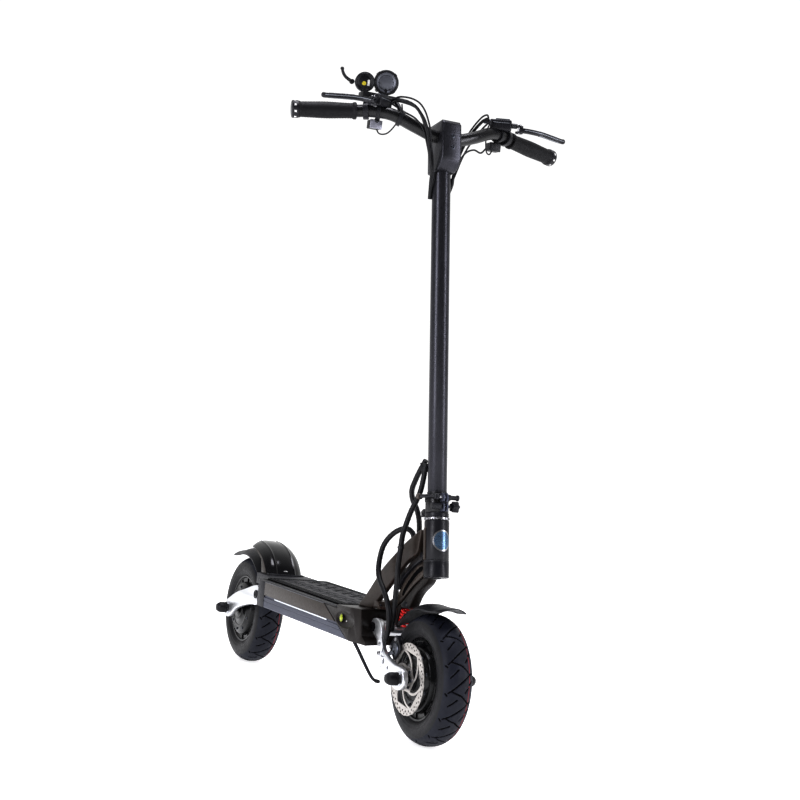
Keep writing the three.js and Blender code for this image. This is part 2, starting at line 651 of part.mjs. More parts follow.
function switches() {
  for (const [side, word] of [[-1, "right"], [1, "left"]]) {
    const ring = barRing(side * 138, 7, 16.5);
    const { point } = barAt(side * 138);
    const x = point.x - 16;
    const y = point.y;
    const housing = box(x - 10, x + 12, y - 13, y + 13, 1206, 1224);
    const neck = rod(new THREE.Vector3(x + 4, y, 1218), point.clone().add(new THREE.Vector3(-3, 0, -14)), 5, 10);
    const well = rod(new THREE.Vector3(x - 14, y, 1215), new THREE.Vector3(x - 6, y, 1215), 5, 12);
    const body = cut(join(housing, ring, neck), well, barRoom(side * 138, 30));
    addPart(`switch_box_${word}`, body, word === "right" ? FINISH.silverPlastic : FINISH.plastic);
    const button = rod(new THREE.Vector3(x - 13, y, 1215), new THREE.Vector3(x - 9, y, 1215), 4.6, 12);
    addPart(`switch_button_${word}`, button, FINISH.plastic);
  }
}

// ---------- wheels and swingarms ----------

function wheel(x, word, discSide) {
  const w = TYRE_HALF_W;
  const tyre = turnedY(
    [
      [80, -26], [94, -w], [108, -w], [120, -24], [TYRE_R, -8],
      [TYRE_R, 8], [120, 24], [108, w], [94, w], [80, 26],
    ].reverse(),
    40,
  );
  addPart(`${word}_tyre`, tyre.translate(x, 0, TYRE_R), FINISH.tyre);

  const hub = turnedY(
    [
      [AXLE_R + 0.5, -43], [24, -43], [26, -36], [62, -31], [66, -22], [73, -22],
      [79.2, -26], [79.2, 26], [73, 22], [66, 22], [62, 31], [26, 36], [24, 43],
      [AXLE_R + 0.5, 43],
    ].reverse(),
    28,
  );
  const mount = turnedY([[AXLE_R + 0.5, 42], [22, 42], [22, 48.4], [AXLE_R + 0.5, 48.4]].reverse(), 20);
  const turnedMount = discSide < 0 ? mirrored(mount) : mount;
  addPart(`${word}_hub`, toGeometry(join(hub, turnedMount)).translate(x, 0, TYRE_R), FINISH.satinBlack);

  const discRing = turnedY([[AXLE_R + 3, 48.7], [70, 48.7], [70, 50.9], [AXLE_R + 3, 50.9]].reverse(), 30);
  const windows = Array.from({ length: 6 }, (_, i) => {
    const a = (Math.PI * i) / 3;
    return acrossRod(40 * Math.cos(a), 40 * Math.sin(a), 13, 40, 60, 8);
  });
  const disc = toGeometry(cut(discRing, ...windows));
  const sided = discSide < 0 ? mirrored(disc) : disc;
  addPart(`${word}_brake_disc`, sided.translate(x, 0, TYRE_R), FINISH.steel);

  const axle = turnedY(
    [
      [0, -CAP_OUT], [11, -CAP_OUT], [13, -CAP_OUT + 3], [13, -ARM_OUT - 0.4], [AXLE_R, -ARM_OUT - 0.4],
      [AXLE_R, ARM_OUT + 0.4], [13, ARM_OUT + 0.4], [13, CAP_OUT - 3], [11, CAP_OUT], [0, CAP_OUT],
    ].reverse(),
    16,
  );
  addPart(`${word}_axle`, axle.translate(x, 0, TYRE_R), FINISH.plastic);
}

// A caliper round the disc's rim: x and z of the wheel, the side, and the angle of its middle.
function caliper(word, x, side, angle) {
  const block = box(56, 94, 42.5, 57, -19, 19);
  const slot = box(50, 73, 47.4, 52.2, -30, 30);
  const inlet = rod(new THREE.Vector3(84, 50, 12), new THREE.Vector3(84, 50, 25), 4.5, 10);
  const made = toGeometry(join(cut(block, slot), inlet));
  made.rotateY(-angle);
  const sided = side < 0 ? mirrored(made) : made;
  addPart(`${word}_caliper`, sided.translate(x, 0, TYRE_R), FINISH.satinBlack);
}

function frontSwingarm() {
  const outline = [
    [309, 219], [336, 221], [362, 211], [384, 190], [392, 170], [420, 158], [460, 149], [478, 149.5],
    [494, 142], [500, 127], [494, 112], [478, 105], [450, 108], [410, 122], [372, 138], [353, 157],
    [341, 175], [320, 187], [306, 195], [302, 207],
  ];
  // In plan the arm starts close to the fork and flares out to the axle.
  const headIn = 43;
  const headOut = 55;
  const plan = prism(
    [
      [290, headIn], [335, headIn], [385, ARM_IN], [520, ARM_IN],
      [520, ARM_OUT], [388, ARM_OUT], [338, headOut], [290, headOut],
    ],
    90,
    240,
  );
  const arm = toGeometry(common(plate(outline, 40, 72), plan));
  const boss = (side) => acrossRod(FRONT_PIVOT.x, FRONT_PIVOT.z, 14, Math.min(side * 12, side * 50), Math.max(side * 12, side * 50));
  const seat = plate([[332.5, 205.9], [332.5, 197], [344, 192], [356, 192], [364, 199], [364, 205.9]], -50, 50);
  const bridge = (side) => {
    const y0 = Math.min(side * 12, side * 46);
    return plate([[318, 216], [336, 206], [336, 195], [318, 190]], y0, y0 + 34);
  };
  const pinHole = acrossRod(FRONT_PIVOT.x, FRONT_PIVOT.z, 6.4, -80, 80);
  const axleHole = acrossRod(HALF_BASE, TYRE_R, AXLE_R + 0.4, -90, 90);
  const body = join(arm, mirrored(arm), boss(1), boss(-1), bridge(1), bridge(-1), seat);
  addPart("front_swingarm", cut(body, pinHole, axleHole), FINISH.polished);
}

function rearSwingarm() {
  const outline = [
    [-277, 196], [-297, 205], [-317, 203], [-431, 171], [-478, 150.5], [-494, 142], [-500, 127],
    [-493, 112], [-478, 105.5], [-462, 110], [-426, 132], [-330, 156], [-292, 161], [-275, 174],
  ];
  const arm = plate(outline, ARM_IN, ARM_OUT);
  const bridge = plate([[-316, 179.5], [-342, 179.5], [-342, 168], [-330, 160], [-316, 163]], -60, 60);
  const pinHole = acrossRod(REAR_PIVOT.x, REAR_PIVOT.z, 6.4, -90, 90);
  const axleHole = acrossRod(-HALF_BASE, TYRE_R, AXLE_R + 0.4, -90, 90);
  addPart("rear_swingarm", cut(join(arm, mirrored(arm), bridge), pinHole, axleHole), FINISH.polished);
}

// A fender over a wheel: a domed strip along an arc, flicked out towards its two ends.
function fender(name, x, from, to, crown, edgeDrop, halfWidth, flick) {
  const thick = 2.6;
  const ribs = 6;
  const dome = (u) => -edgeDrop * Math.pow(Math.abs(u), 2.2);
  const upper = [];
  const lower = [];
  for (let i = 0; i <= ribs; i++) {
    const u = -1 + (2 * i) / ribs;
    upper.push([halfWidth * u, dome(u)]);
    lower.unshift([(halfWidth - 1) * u, dome(u) - thick]);
  }
  const strip = arch([...upper, ...lower], 16, (t) => {
    const a = from + (to - from) * t;
    const r = crown + flick(t);
    return { x: x + r * Math.cos(a), z: TYRE_R + r * Math.sin(a), nx: Math.cos(a), nz: Math.sin(a) };
  });
  addPart(name, strip, FINISH.satinBlack);
}

function fenders() {
  const deg = THREE.MathUtils.degToRad;
  const frontFlick = (t) => 17 * Math.pow(Math.max(0, 1 - t / 0.3), 2);
  const rearFlick = (t) => 15 * Math.pow(Math.max(0, 1 - (1 - t) / 0.25), 2);
  fender("front_fender", HALF_BASE, deg(58.7), deg(133), 147, 11.5, 34, frontFlick);
  fender("rear_fender", -HALF_BASE, deg(40), deg(126), 149, 16, 38, rearFlick);
}

// ---------- cables ----------

function cables() {
  const routes = {
    bar_cables_right: [
      [296, -110, 1265], [306, -92, 1262], [314, -80, 1254], [319, -69, 1240], [320, -59, 1222],
      [319, -50, 1203], [317, -44, 1182], [314, -34, 1153], [311, -28, 1130], [309, -25.5, 1118],
    ],
    bar_cables_left: [
      [275, 108, 1267], [270, 100, 1263], [265, 90, 1250], [261, 76, 1227],
      [264, 62, 1202], [276, 48, 1177], [289, 36, 1151], [297, 29, 1132], [300, 25.5, 1118],
    ],
    stem_sleeve: [
      [388, -13, 548], [376, -17, 527], [366, -20, 507], [358, -22, 484], [364, -20, 465],
      [371, -15, 452], [375, -10, 436], [374, -5, 415], [371, -2, 396], [370, 0, 384],
    ],
    brake_sleeve: [
      [400, -18, 542], [397, -19, 508], [396, -22, 486], [394, -28, 466], [390, -35, 445],
      [388, -42, 418], [388, -47, 397], [391, -50, 370], [392, -52, 338], [394, -52, 313],
      [392, -51, 288], [390, -50, 256], [388, -50, 229], [387, -50, 206],
    ],
    motor_sleeve: [
      [353, -2, 372], [354, -4, 388], [352, -8, 400], [346, -18, 407], [335, -30, 402],
      [320, -41, 387], [311, -49, 367], [312, -55, 341], [322, -60, 316], [338, -62, 299],
      [359, -62, 283], [380, -61, 260], [391, -60, 237], [397, -62, 212], [395, -64, 189],
    ],
  };
  for (const [name, points] of Object.entries(routes)) {
    const length = new THREE.CatmullRomCurve3(points.map((p) => new THREE.Vector3(...p))).getLength();
    addPart(name, sweep(points, SLEEVE_R, Math.round(length / (5 * SLEEVE_R)), 8), FINISH.cable);
  }
}

function kickstand() {
  const leg = sweep(
    [
      KICKSTAND_TOP.toArray(),
      [(KICKSTAND_TOP.x + KICKSTAND_FOOT.x) / 2, (KICKSTAND_TOP.y + KICKSTAND_FOOT.y) / 2, (KICKSTAND_TOP.z + KICKSTAND_FOOT.z) / 2],
      KICKSTAND_FOOT.toArray(),
      [KICKSTAND_FOOT.x + 8, KICKSTAND_FOOT.y + 5, KICKSTAND_FOOT.z - 6],
      [KICKSTAND_FOOT.x + 20, KICKSTAND_FOOT.y + 8, KICKSTAND_FOOT.z - 7],
    ],
    4.8,
    10,
    10,
  );
  const halfEye = KICKSTAND_AXIS.clone().multiplyScalar(5);
  const eye = rod(KICKSTAND_TOP.clone().sub(halfEye), KICKSTAND_TOP.clone().add(halfEye), 5.6, 14);
  addPart("kickstand", join(leg, eye), FINISH.satinBlack);
}

neckCasting();
headset();
deck();
frontCasing();
rearCasing();
kickPlate();
rearSpring();
fork();
hinge();
stem();
clampControls();
handlebar();
brakeControls();
cockpit();
switches();
wheel(HALF_BASE, "front", -1);
wheel(-HALF_BASE, "rear", 1);
frontSwingarm();
rearSwingarm();
caliper("front", HALF_BASE, -1, THREE.MathUtils.degToRad(150));
caliper("rear", -HALF_BASE, 1, THREE.MathUtils.degToRad(60));
fenders();
cables();
kickstand();

export default scooter;
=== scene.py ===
import math

import bmesh
import bpy
import numpy as np
from mathutils import Matrix, Vector


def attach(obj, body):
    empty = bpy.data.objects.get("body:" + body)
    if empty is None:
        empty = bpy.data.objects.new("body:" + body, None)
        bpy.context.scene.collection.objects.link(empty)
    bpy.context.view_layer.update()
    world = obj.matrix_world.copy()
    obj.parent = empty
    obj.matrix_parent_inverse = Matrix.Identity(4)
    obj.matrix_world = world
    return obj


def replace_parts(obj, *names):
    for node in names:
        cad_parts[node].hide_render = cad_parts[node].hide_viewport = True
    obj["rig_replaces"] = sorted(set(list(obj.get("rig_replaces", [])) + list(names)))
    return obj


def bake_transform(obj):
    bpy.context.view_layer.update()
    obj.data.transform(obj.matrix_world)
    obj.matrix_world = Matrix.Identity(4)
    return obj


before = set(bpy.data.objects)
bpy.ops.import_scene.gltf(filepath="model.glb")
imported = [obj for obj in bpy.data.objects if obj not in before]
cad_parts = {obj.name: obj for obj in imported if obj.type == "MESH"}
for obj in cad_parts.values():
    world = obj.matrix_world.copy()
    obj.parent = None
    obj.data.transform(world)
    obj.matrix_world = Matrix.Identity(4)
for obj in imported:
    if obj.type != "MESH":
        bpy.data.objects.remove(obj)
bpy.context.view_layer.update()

# Lengths below are in millimetres, in the row frame, and become metres when a mesh is made.
MM = 0.001
RAKE = math.radians(11.11)
STEER = Matrix.Translation((439, 0, 420)) @ Matrix.Rotation(-RAKE, 4, "Y")
HALF_BASE = 478
TYRE_R = 127
BAR_R = 12.7
FRONT_PIVOT = (316, 0, 203)
REAR_PIVOT = (-296, 0, 184)
KICKSTAND_TOP = (-120, 78, 158)
SIDES = ((1, "left"), (-1, "right"))
ON_STEER = {"axis": (0, 0, 1), "matrix": STEER}
LOOM_R = 5.4


# ---------- materials ----------


def finish(
    name, colour, rough, metal=0.0, grain=0.15, size=1400, vary=0.15, coat=0.0, stretch=None, wear=0.0,
    edge=None, specular=0.3,
):
    """A procedural finish: mottled colour and gloss, a fine grain and, on paint, lighter worn edges."""
    mat = bpy.data.materials.new(name)
    mat.use_nodes = True
    tree = mat.node_tree
    node, link = tree.nodes, tree.links
    shader = node["Principled BSDF"]
    shader.inputs["Metallic"].default_value = metal
    shader.inputs["Specular IOR Level"].default_value = specular
    shader.inputs["Coat Weight"].default_value = coat
    shader.inputs["Coat Roughness"].default_value = 0.12
    place = node.new("ShaderNodeTexCoord").outputs["Object"]
    if stretch:
        mapping = node.new("ShaderNodeMapping")
        mapping.inputs["Scale"].default_value = stretch
        link.new(place, mapping.inputs["Vector"])
        place = mapping.outputs["Vector"]

    def noise(scale, detail):
        made = node.new("ShaderNodeTexNoise")
        made.inputs["Scale"].default_value = scale
        made.inputs["Detail"].default_value = detail
        link.new(place, made.inputs["Vector"])
        return made.outputs["Fac"]

    cloud = noise(22, 4)
    ramp = node.new("ShaderNodeValToRGB")
    low, high = ramp.color_ramp.elements
    low.position, high.position = 0.3, 0.72
    low.color = (*[c * (1 - vary) for c in colour], 1)
    high.color = (*[min(1, c * (1 + vary)) for c in colour], 1)
    link.new(cloud, ramp.inputs["Fac"])
    out = ramp.outputs["Color"]
    if wear:
        sharp = node.new("ShaderNodeMapRange")
        sharp.inputs["From Min"].default_value = 0.52
        sharp.inputs["From Max"].default_value = 0.62
        sharp.inputs["To Max"].default_value = wear
        link.new(node.new("ShaderNodeNewGeometry").outputs["Pointiness"], sharp.inputs["Value"])
        mix = node.new("ShaderNodeMixRGB")
        mix.inputs["Color2"].default_value = (*(edge or [min(1, c * 3 + 0.02) for c in colour]), 1)
        link.new(sharp.outputs["Result"], mix.inputs["Fac"])
        link.new(out, mix.inputs["Color1"])
        out = mix.outputs["Color"]
    link.new(out, shader.inputs["Base Color"])
    gloss = node.new("ShaderNodeMapRange")
    gloss.inputs["From Min"].default_value = 0.25
    gloss.inputs["From Max"].default_value = 0.75
    gloss.inputs["To Min"].default_value = rough * 0.82
    gloss.inputs["To Max"].default_value = min(1, rough * 1.2)
    link.new(noise(160, 3), gloss.inputs["Value"])
    link.new(gloss.outputs["Result"], shader.inputs["Roughness"])
    bump = node.new("ShaderNodeBump")
    bump.inputs["Strength"].default_value = grain
    bump.inputs["Distance"].default_value = 0.0003
    link.new(noise(size, 2), bump.inputs["Height"])
    link.new(bump.outputs["Normal"], shader.inputs["Normal"])
    return mat


PAINT = finish("satin_black", (0.0055, 0.0057, 0.0085), 0.36, grain=0.2, wear=0.3, edge=(0.05, 0.05, 0.055))
GLOSS = finish("gloss_black", (0.005, 0.005, 0.006), 0.13, grain=0.03, specular=0.5)
REAR = finish(
    "casing_blue_black", (0.010, 0.010, 0.014), 0.4, grain=0.3, size=1900, wear=0.3,
    edge=(0.06, 0.06, 0.07),
)
BAR_PAINT = finish("bar_black", (0.008, 0.008, 0.009), 0.26, grain=0.12, specular=0.4)
BRONZE = finish(
    "bronze_paint", (0.026, 0.0185, 0.0145), 0.34, metal=0.35, grain=0.25, wear=0.3,
    edge=(0.16, 0.13, 0.11), specular=0.4,
)
CASING = finish(
    "casing_brown_black", (0.012, 0.009, 0.008), 0.38, metal=0.2, grain=0.3, size=1900, wear=0.3,
    edge=(0.07, 0.06, 0.055),
)
STEM = finish("stem_anodised", (0.040, 0.040, 0.047), 0.3, metal=0.7, grain=0.1, stretch=(3, 3, 0.6))
SLATE = finish("slate_anodised", (0.070, 0.076, 0.105), 0.4, metal=0.6, grain=0.1, stretch=(0.4, 6, 6))
POLISHED = finish(
    "polished_aluminium", (0.78, 0.79, 0.81), 0.34, metal=0.95, grain=0.06, vary=0.08, stretch=(0.5, 5, 5),
)
DISC = finish("brake_disc_steel", (0.50, 0.475, 0.45), 0.42, metal=0.9, grain=0.08, vary=0.12, size=900)
HUB = finish("hub_black", (0.004, 0.004, 0.0045), 0.24, grain=0.06, specular=0.35)
STEEL = finish("ground_steel", (0.42, 0.42, 0.43), 0.3, metal=1.0, grain=0.08, vary=0.12, size=900)
DARK_STEEL = finish("blued_steel", (0.075, 0.08, 0.095), 0.3, metal=0.9, grain=0.08)
SILVER = finish("silver_plastic", (0.26, 0.26, 0.30), 0.33, metal=0.5, grain=0.1)
RED = finish("red_spring_paint", (0.72, 0.010, 0.008), 0.26, grain=0.05, coat=0.3)
TREAD = finish("tyre_tread", (0.0074, 0.0088, 0.0170), 0.55, grain=0.5, size=1100, vary=0.22)
TREAD_LINE = finish("tyre_red_line", (0.20, 0.006, 0.014), 0.6, grain=0.4)
SIDEWALL = finish("tyre_sidewall", (0.010, 0.0098, 0.0115), 0.46, grain=0.35, vary=0.25)
# Near-black and nearly unreflective: painted shade for the tread grooves, the mat channels, the neck slot
# floors and the front pivot's screw heads.
GROOVE_SHADE = finish("groove_shadow", (0.0025, 0.0025, 0.003), 0.8, grain=0.2, specular=0.05)
MAT = finish(
    "deck_rubber", (0.013, 0.013, 0.017), 0.5, grain=0.5, size=800, wear=0.5, edge=(0.06, 0.06, 0.066),
)
GRIP = finish("grip_rubber", (0.0032, 0.0032, 0.0044), 0.6, grain=0.7, size=700)
PLASTIC = finish(
    "moulded_black", (0.0055, 0.0057, 0.0078), 0.42, grain=0.4, size=1700, wear=0.2,
    edge=(0.04, 0.04, 0.042),
)
SLEEVE = finish("cable_sleeve", (0.0046, 0.0047, 0.0062), 0.46, grain=0.6, size=1000)
WHITE = finish("light_strip", (0.80, 0.84, 0.88), 0.3, grain=0.05, vary=0.05)
LABEL = finish("pale_label", (0.62, 0.62, 0.60), 0.45, grain=0.1)
AMBER = finish("marker_lens", (0.30, 0.36, 0.012), 0.2, grain=0.3, size=500, coat=0.6, vary=0.35)
YELLOW = finish("yellow_dot", (0.50, 0.42, 0.03), 0.4, grain=0.1, vary=0.3)
LENS = finish("lamp_grey", (0.13, 0.135, 0.155), 0.34, metal=0.4, grain=0.1)
INSET = finish("lever_inset", (0.20, 0.21, 0.23), 0.34, metal=0.7, grain=0.1)
BADGE = finish("badge_blue_grey", (0.12, 0.19, 0.29), 0.28, metal=0.8, grain=0.1, vary=0.35)
PACK = finish("battery_wrap", (0.02, 0.06, 0.18), 0.4)


# ---------- mesh tools ----------


def add(name, verts, faces, mat, body, sharp=38, replaces=(), extra=None):
    """A closed mesh from millimetre points, riding on a body.

    extra is a second finish as (material, face test).
    """
    mesh = bpy.data.meshes.new(name)
    mesh.from_pydata([tuple(float(c) * MM for c in v) for v in verts], [], faces)
    mesh.validate()
    tidy = bmesh.new()
    tidy.from_mesh(mesh)
    bmesh.ops.remove_doubles(tidy, verts=tidy.verts, dist=1e-7)
    bmesh.ops.recalc_face_normals(tidy, faces=tidy.faces)
    tidy.to_mesh(mesh)
    tidy.free()
    mesh.materials.append(mat)
    if extra:
        mesh.materials.append(extra[0])
        for poly in mesh.polygons:
            if extra[1](poly.center / MM):
                poly.material_index = 1
    obj = bpy.data.objects.new(name, mesh)
    bpy.context.scene.collection.objects.link(obj)
    return dress(obj, body, sharp, replaces)


def dress(obj, body, sharp=38, replaces=()):
    """Smooth shading with crisp edges, and the piece's place in the assembly."""
    obj.data.shade_smooth()
    obj.data.set_sharp_from_angle(angle=math.radians(sharp))
    if body:
        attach(obj, body)
    if replaces:
        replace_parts(obj, *replaces)
    return obj


def applied(obj):
    """obj with its modifiers baked into its mesh."""
    bpy.context.view_layer.update()
    graph = bpy.context.evaluated_depsgraph_get()
    made = bpy.data.meshes.new_from_object(obj.evaluated_get(graph))
    obj.modifiers.clear()
    obj.data = made
    return obj


def rounded(obj, width, segments=2, angle=32):
    """Bevels the sharp edges of a piece, in millimetres."""
    made = obj.modifiers.new("edge", "BEVEL")
    made.width = width * MM
    made.segments = segments
    made.limit_method = "ANGLE"
    made.angle_limit = math.radians(angle)
    made.use_clamp_overlap = True
    applied(obj)
    obj.data.shade_smooth()
    obj.data.set_sharp_from_angle(angle=math.radians(44))
    return obj


def carved(obj, *cutters, operation="DIFFERENCE"):
    """obj with the cutters taken away from it or joined to it."""
    for cutter in cutters:
        made = obj.modifiers.new("cut", "BOOLEAN")
        made.operation = operation
        made.solver = "EXACT"
        made.object = cutter
    applied(obj)
    for cutter in cutters:
        bpy.data.objects.remove(cutter)
    obj.data.shade_smooth()
    obj.data.set_sharp_from_angle(angle=math.radians(38))
    return obj


def spline(points, step, closed=False):
    """Points along a centripetal Catmull-Rom curve."""
    p = [np.array(q, float) for q in points]
    ext = [p[-1], *p, p[0], p[1]] if closed else [2 * p[0] - p[1], *p, 2 * p[-1] - p[-2]]
    out = []
    for i in range(1, len(ext) - 2):
        p0, p1, p2, p3 = ext[i - 1 : i + 3]
        t1 = np.linalg.norm(p1 - p0) ** 0.5
        t2 = t1 + np.linalg.norm(p2 - p1) ** 0.5
        t3 = t2 + np.linalg.norm(p3 - p2) ** 0.5
        count = max(1, math.ceil(np.linalg.norm(p2 - p1) / step))
        for j in range(count):
            t = t1 + (t2 - t1) * j / count
            a1 = (t1 - t) / t1 * p0 + t / t1 * p1
            a2 = (t2 - t) / (t2 - t1) * p1 + (t - t1) / (t2 - t1) * p2
            a3 = (t3 - t) / (t3 - t2) * p2 + (t - t2) / (t3 - t2) * p3
            b1 = (t2 - t) / t2 * a1 + t / t2 * a2
            b2 = (t3 - t) / (t3 - t1) * a2 + (t - t1) / (t3 - t1) * a3
            out.append((t2 - t) / (t2 - t1) * b1 + (t - t1) / (t2 - t1) * b2)
    if not closed:
        out.append(p[-1])
    return out


def lofted(rings, closed=False):
    """Vertices and faces of a skin over equal rings, with its two ends capped unless it closes on itself."""
    n = len(rings[0])
    verts = [v for ring in rings for v in ring]
    faces = []
    for i in range(len(rings) if closed else len(rings) - 1):
        a, b = i * n, ((i + 1) % len(rings)) * n
        for j in range(n):
            k = (j + 1) % n
            faces.append((a + j, a + k, b + k, b + j))
    if not closed:
        faces.append(tuple(range(n))[::-1])
        faces.append(tuple(range((len(rings) - 1) * n, len(rings) * n)))
    return verts, faces


def tube_mesh(path, radius, sides=16):
    """A round tube along a path. radius is a number, or a function of the share of its length."""
    p = [np.array(q, float) for q in path]
    tangents = [p[min(i + 1, len(p) - 1)] - p[max(i - 1, 0)] for i in range(len(p))]
    tangents = [t / np.linalg.norm(t) for t in tangents]
    side = np.cross(tangents[0], (0, 0, 1) if abs(tangents[0][2]) < 0.9 else (1, 0, 0))
    side /= np.linalg.norm(side)
    rings = []
    for i, (at, along) in enumerate(zip(p, tangents)):
        side = side - along * side.dot(along)
        side /= np.linalg.norm(side)
        other = np.cross(along, side)
        r = radius(i / (len(p) - 1)) if callable(radius) else radius
        turn = [2 * math.pi * j / sides for j in range(sides)]
        rings.append([at + r * (math.cos(a) * side + math.sin(a) * other) for a in turn])
    return lofted(rings)


def tube(name, path, radius, mat, body, sides=16, **more):
    return add(name, *tube_mesh(path, radius, sides), mat, body, **more)


def moved(verts, matrix):
    return [matrix @ Vector(v) for v in verts]


def along_matrix(at, axis):
    """Takes local Z to an axis at a point."""
    return Matrix.Translation(Vector(at)) @ Vector(axis).to_track_quat("Z", "Y").to_matrix().to_4x4()


def lathe(name, profile, mat, body, at=(0, 0, 0), axis=(0, 1, 0), sides=64, matrix=None, **more):
    """A turned piece. Its profile is (radius, height) pairs, from axis to axis or closed on itself."""
    solid = profile[0][0] == 0
    verts, faces, starts = [], [], []
    for r, h in profile:
        starts.append(len(verts))
        turn = [0] if r == 0 else [2 * math.pi * j / sides for j in range(sides)]
        verts += [(r * math.cos(a), r * math.sin(a), h) for a in turn]
    rows = len(profile)
    for i in range(rows - 1 if solid else rows):
        a, b = starts[i], starts[(i + 1) % rows]
        ra, rb = profile[i][0], profile[(i + 1) % rows][0]
        for j in range(sides):
            k = (j + 1) % sides
            if ra == 0:
                faces.append((a, b + j, b + k))
            elif rb == 0:
                faces.append((a + j, a + k, b))
            else:
                faces.append((a + j, a + k, b + k, b + j))
    place = matrix @ along_matrix(at, axis) if matrix else along_matrix(at, axis)
    return add(name, moved(verts, place), faces, mat, body, **more)


def slab(name, outline, lo, hi, mat, body, holes=(), bevel=0.0, plane="XZ", matrix=None, warp=None, **more):
    """A plate cut to an outline, with holes and rounded edges, between two heights across its plane."""
    half = (hi - lo) / 2
    data = bpy.data.curves.new("outline", "CURVE")
    data.dimensions = "2D"
    data.fill_mode = "BOTH"
    data.extrude = half - bevel
    data.bevel_depth = bevel
    data.bevel_resolution = 2
    data.offset = -bevel
    for loop in [outline, *holes]:
        made = data.splines.new("POLY")
        made.points.add(len(loop) - 1)
        for point, q in zip(made.points, loop):
            point.co = (q[0], q[1], 0, 1)
        made.use_cyclic_u = True
    temp = bpy.data.objects.new("outline", data)
    bpy.context.scene.collection.objects.link(temp)
    bpy.context.view_layer.update()
    mesh = bpy.data.meshes.new_from_object(temp.evaluated_get(bpy.context.evaluated_depsgraph_get()))
    faces = [tuple(p.vertices) for p in mesh.polygons]
    mid = (hi + lo) / 2
    verts = [
        (v.co.x, mid + v.co.z, v.co.y) if plane == "XZ" else (v.co.x, v.co.y, mid + v.co.z)
        for v in mesh.vertices
    ]
    bpy.data.objects.remove(temp)
    bpy.data.meshes.remove(mesh)
    if warp:
        verts = [warp(v) for v in verts]
    if matrix:
        verts = moved(verts, matrix)
    return add(name, verts, faces, mat, body, **more)


def block(name, lo, hi, mat, body, bevel=1.0, segments=2, matrix=None, **more):
    """A box with rounded edges."""
    (x0, y0, z0), (x1, y1, z1) = lo, hi
    verts = [(x, y, z) for x in (x0, x1) for y in (y0, y1) for z in (z0, z1)]
    faces = [(0, 1, 3, 2), (4, 6, 7, 5), (0, 4, 5, 1), (2, 3, 7, 6), (0, 2, 6, 4), (1, 5, 7, 3)]
    if matrix:
        verts = moved(verts, matrix)
    obj = add(name, verts, faces, mat, body, **more)
    return rounded(obj, bevel, segments) if bevel else obj


def circle(x, z, r, count=32, wave=0.0, lobes=0):
    turn = [2 * math.pi * i / count for i in range(count)]
    return [
        (
            x + (r + wave * math.cos(lobes * a)) * math.cos(a),
            z + (r + wave * math.cos(lobes * a)) * math.sin(a),
        )
        for a in turn
    ]


def bolt(name, at, axis, r, body, mat=STEEL, height=3.0, matrix=None):
    """A cap screw head whose top faces along axis, with a round socket."""
    profile = [
        (0, -2), (r * 0.6, -2), (r * 0.6, 0), (r, 0), (r, height * 0.7), (r * 0.93, height * 0.92),
        (r * 0.8, height), (r * 0.52, height), (r * 0.45, height * 0.35), (0, height * 0.35),
    ]
    return lathe(name, profile, mat, body, at=at, axis=axis, sides=24, matrix=matrix)


def joined(name, *parts):
    """One object from several that share a body."""
    for obj in bpy.context.selected_objects:
        obj.select_set(False)
    kept = set()
    for part in parts:
        kept |= set(part.get("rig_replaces", []))
        part.select_set(True)
    bpy.context.view_layer.objects.active = parts[0]
    bpy.ops.object.join()
    parts[0].name = name
    if kept:
        parts[0]["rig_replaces"] = sorted(kept)
    parts[0].select_set(False)
    return parts[0]


def mirror_y(points):
    return [(x, -y, z) for x, y, z in points]


# ---------- wheels ----------


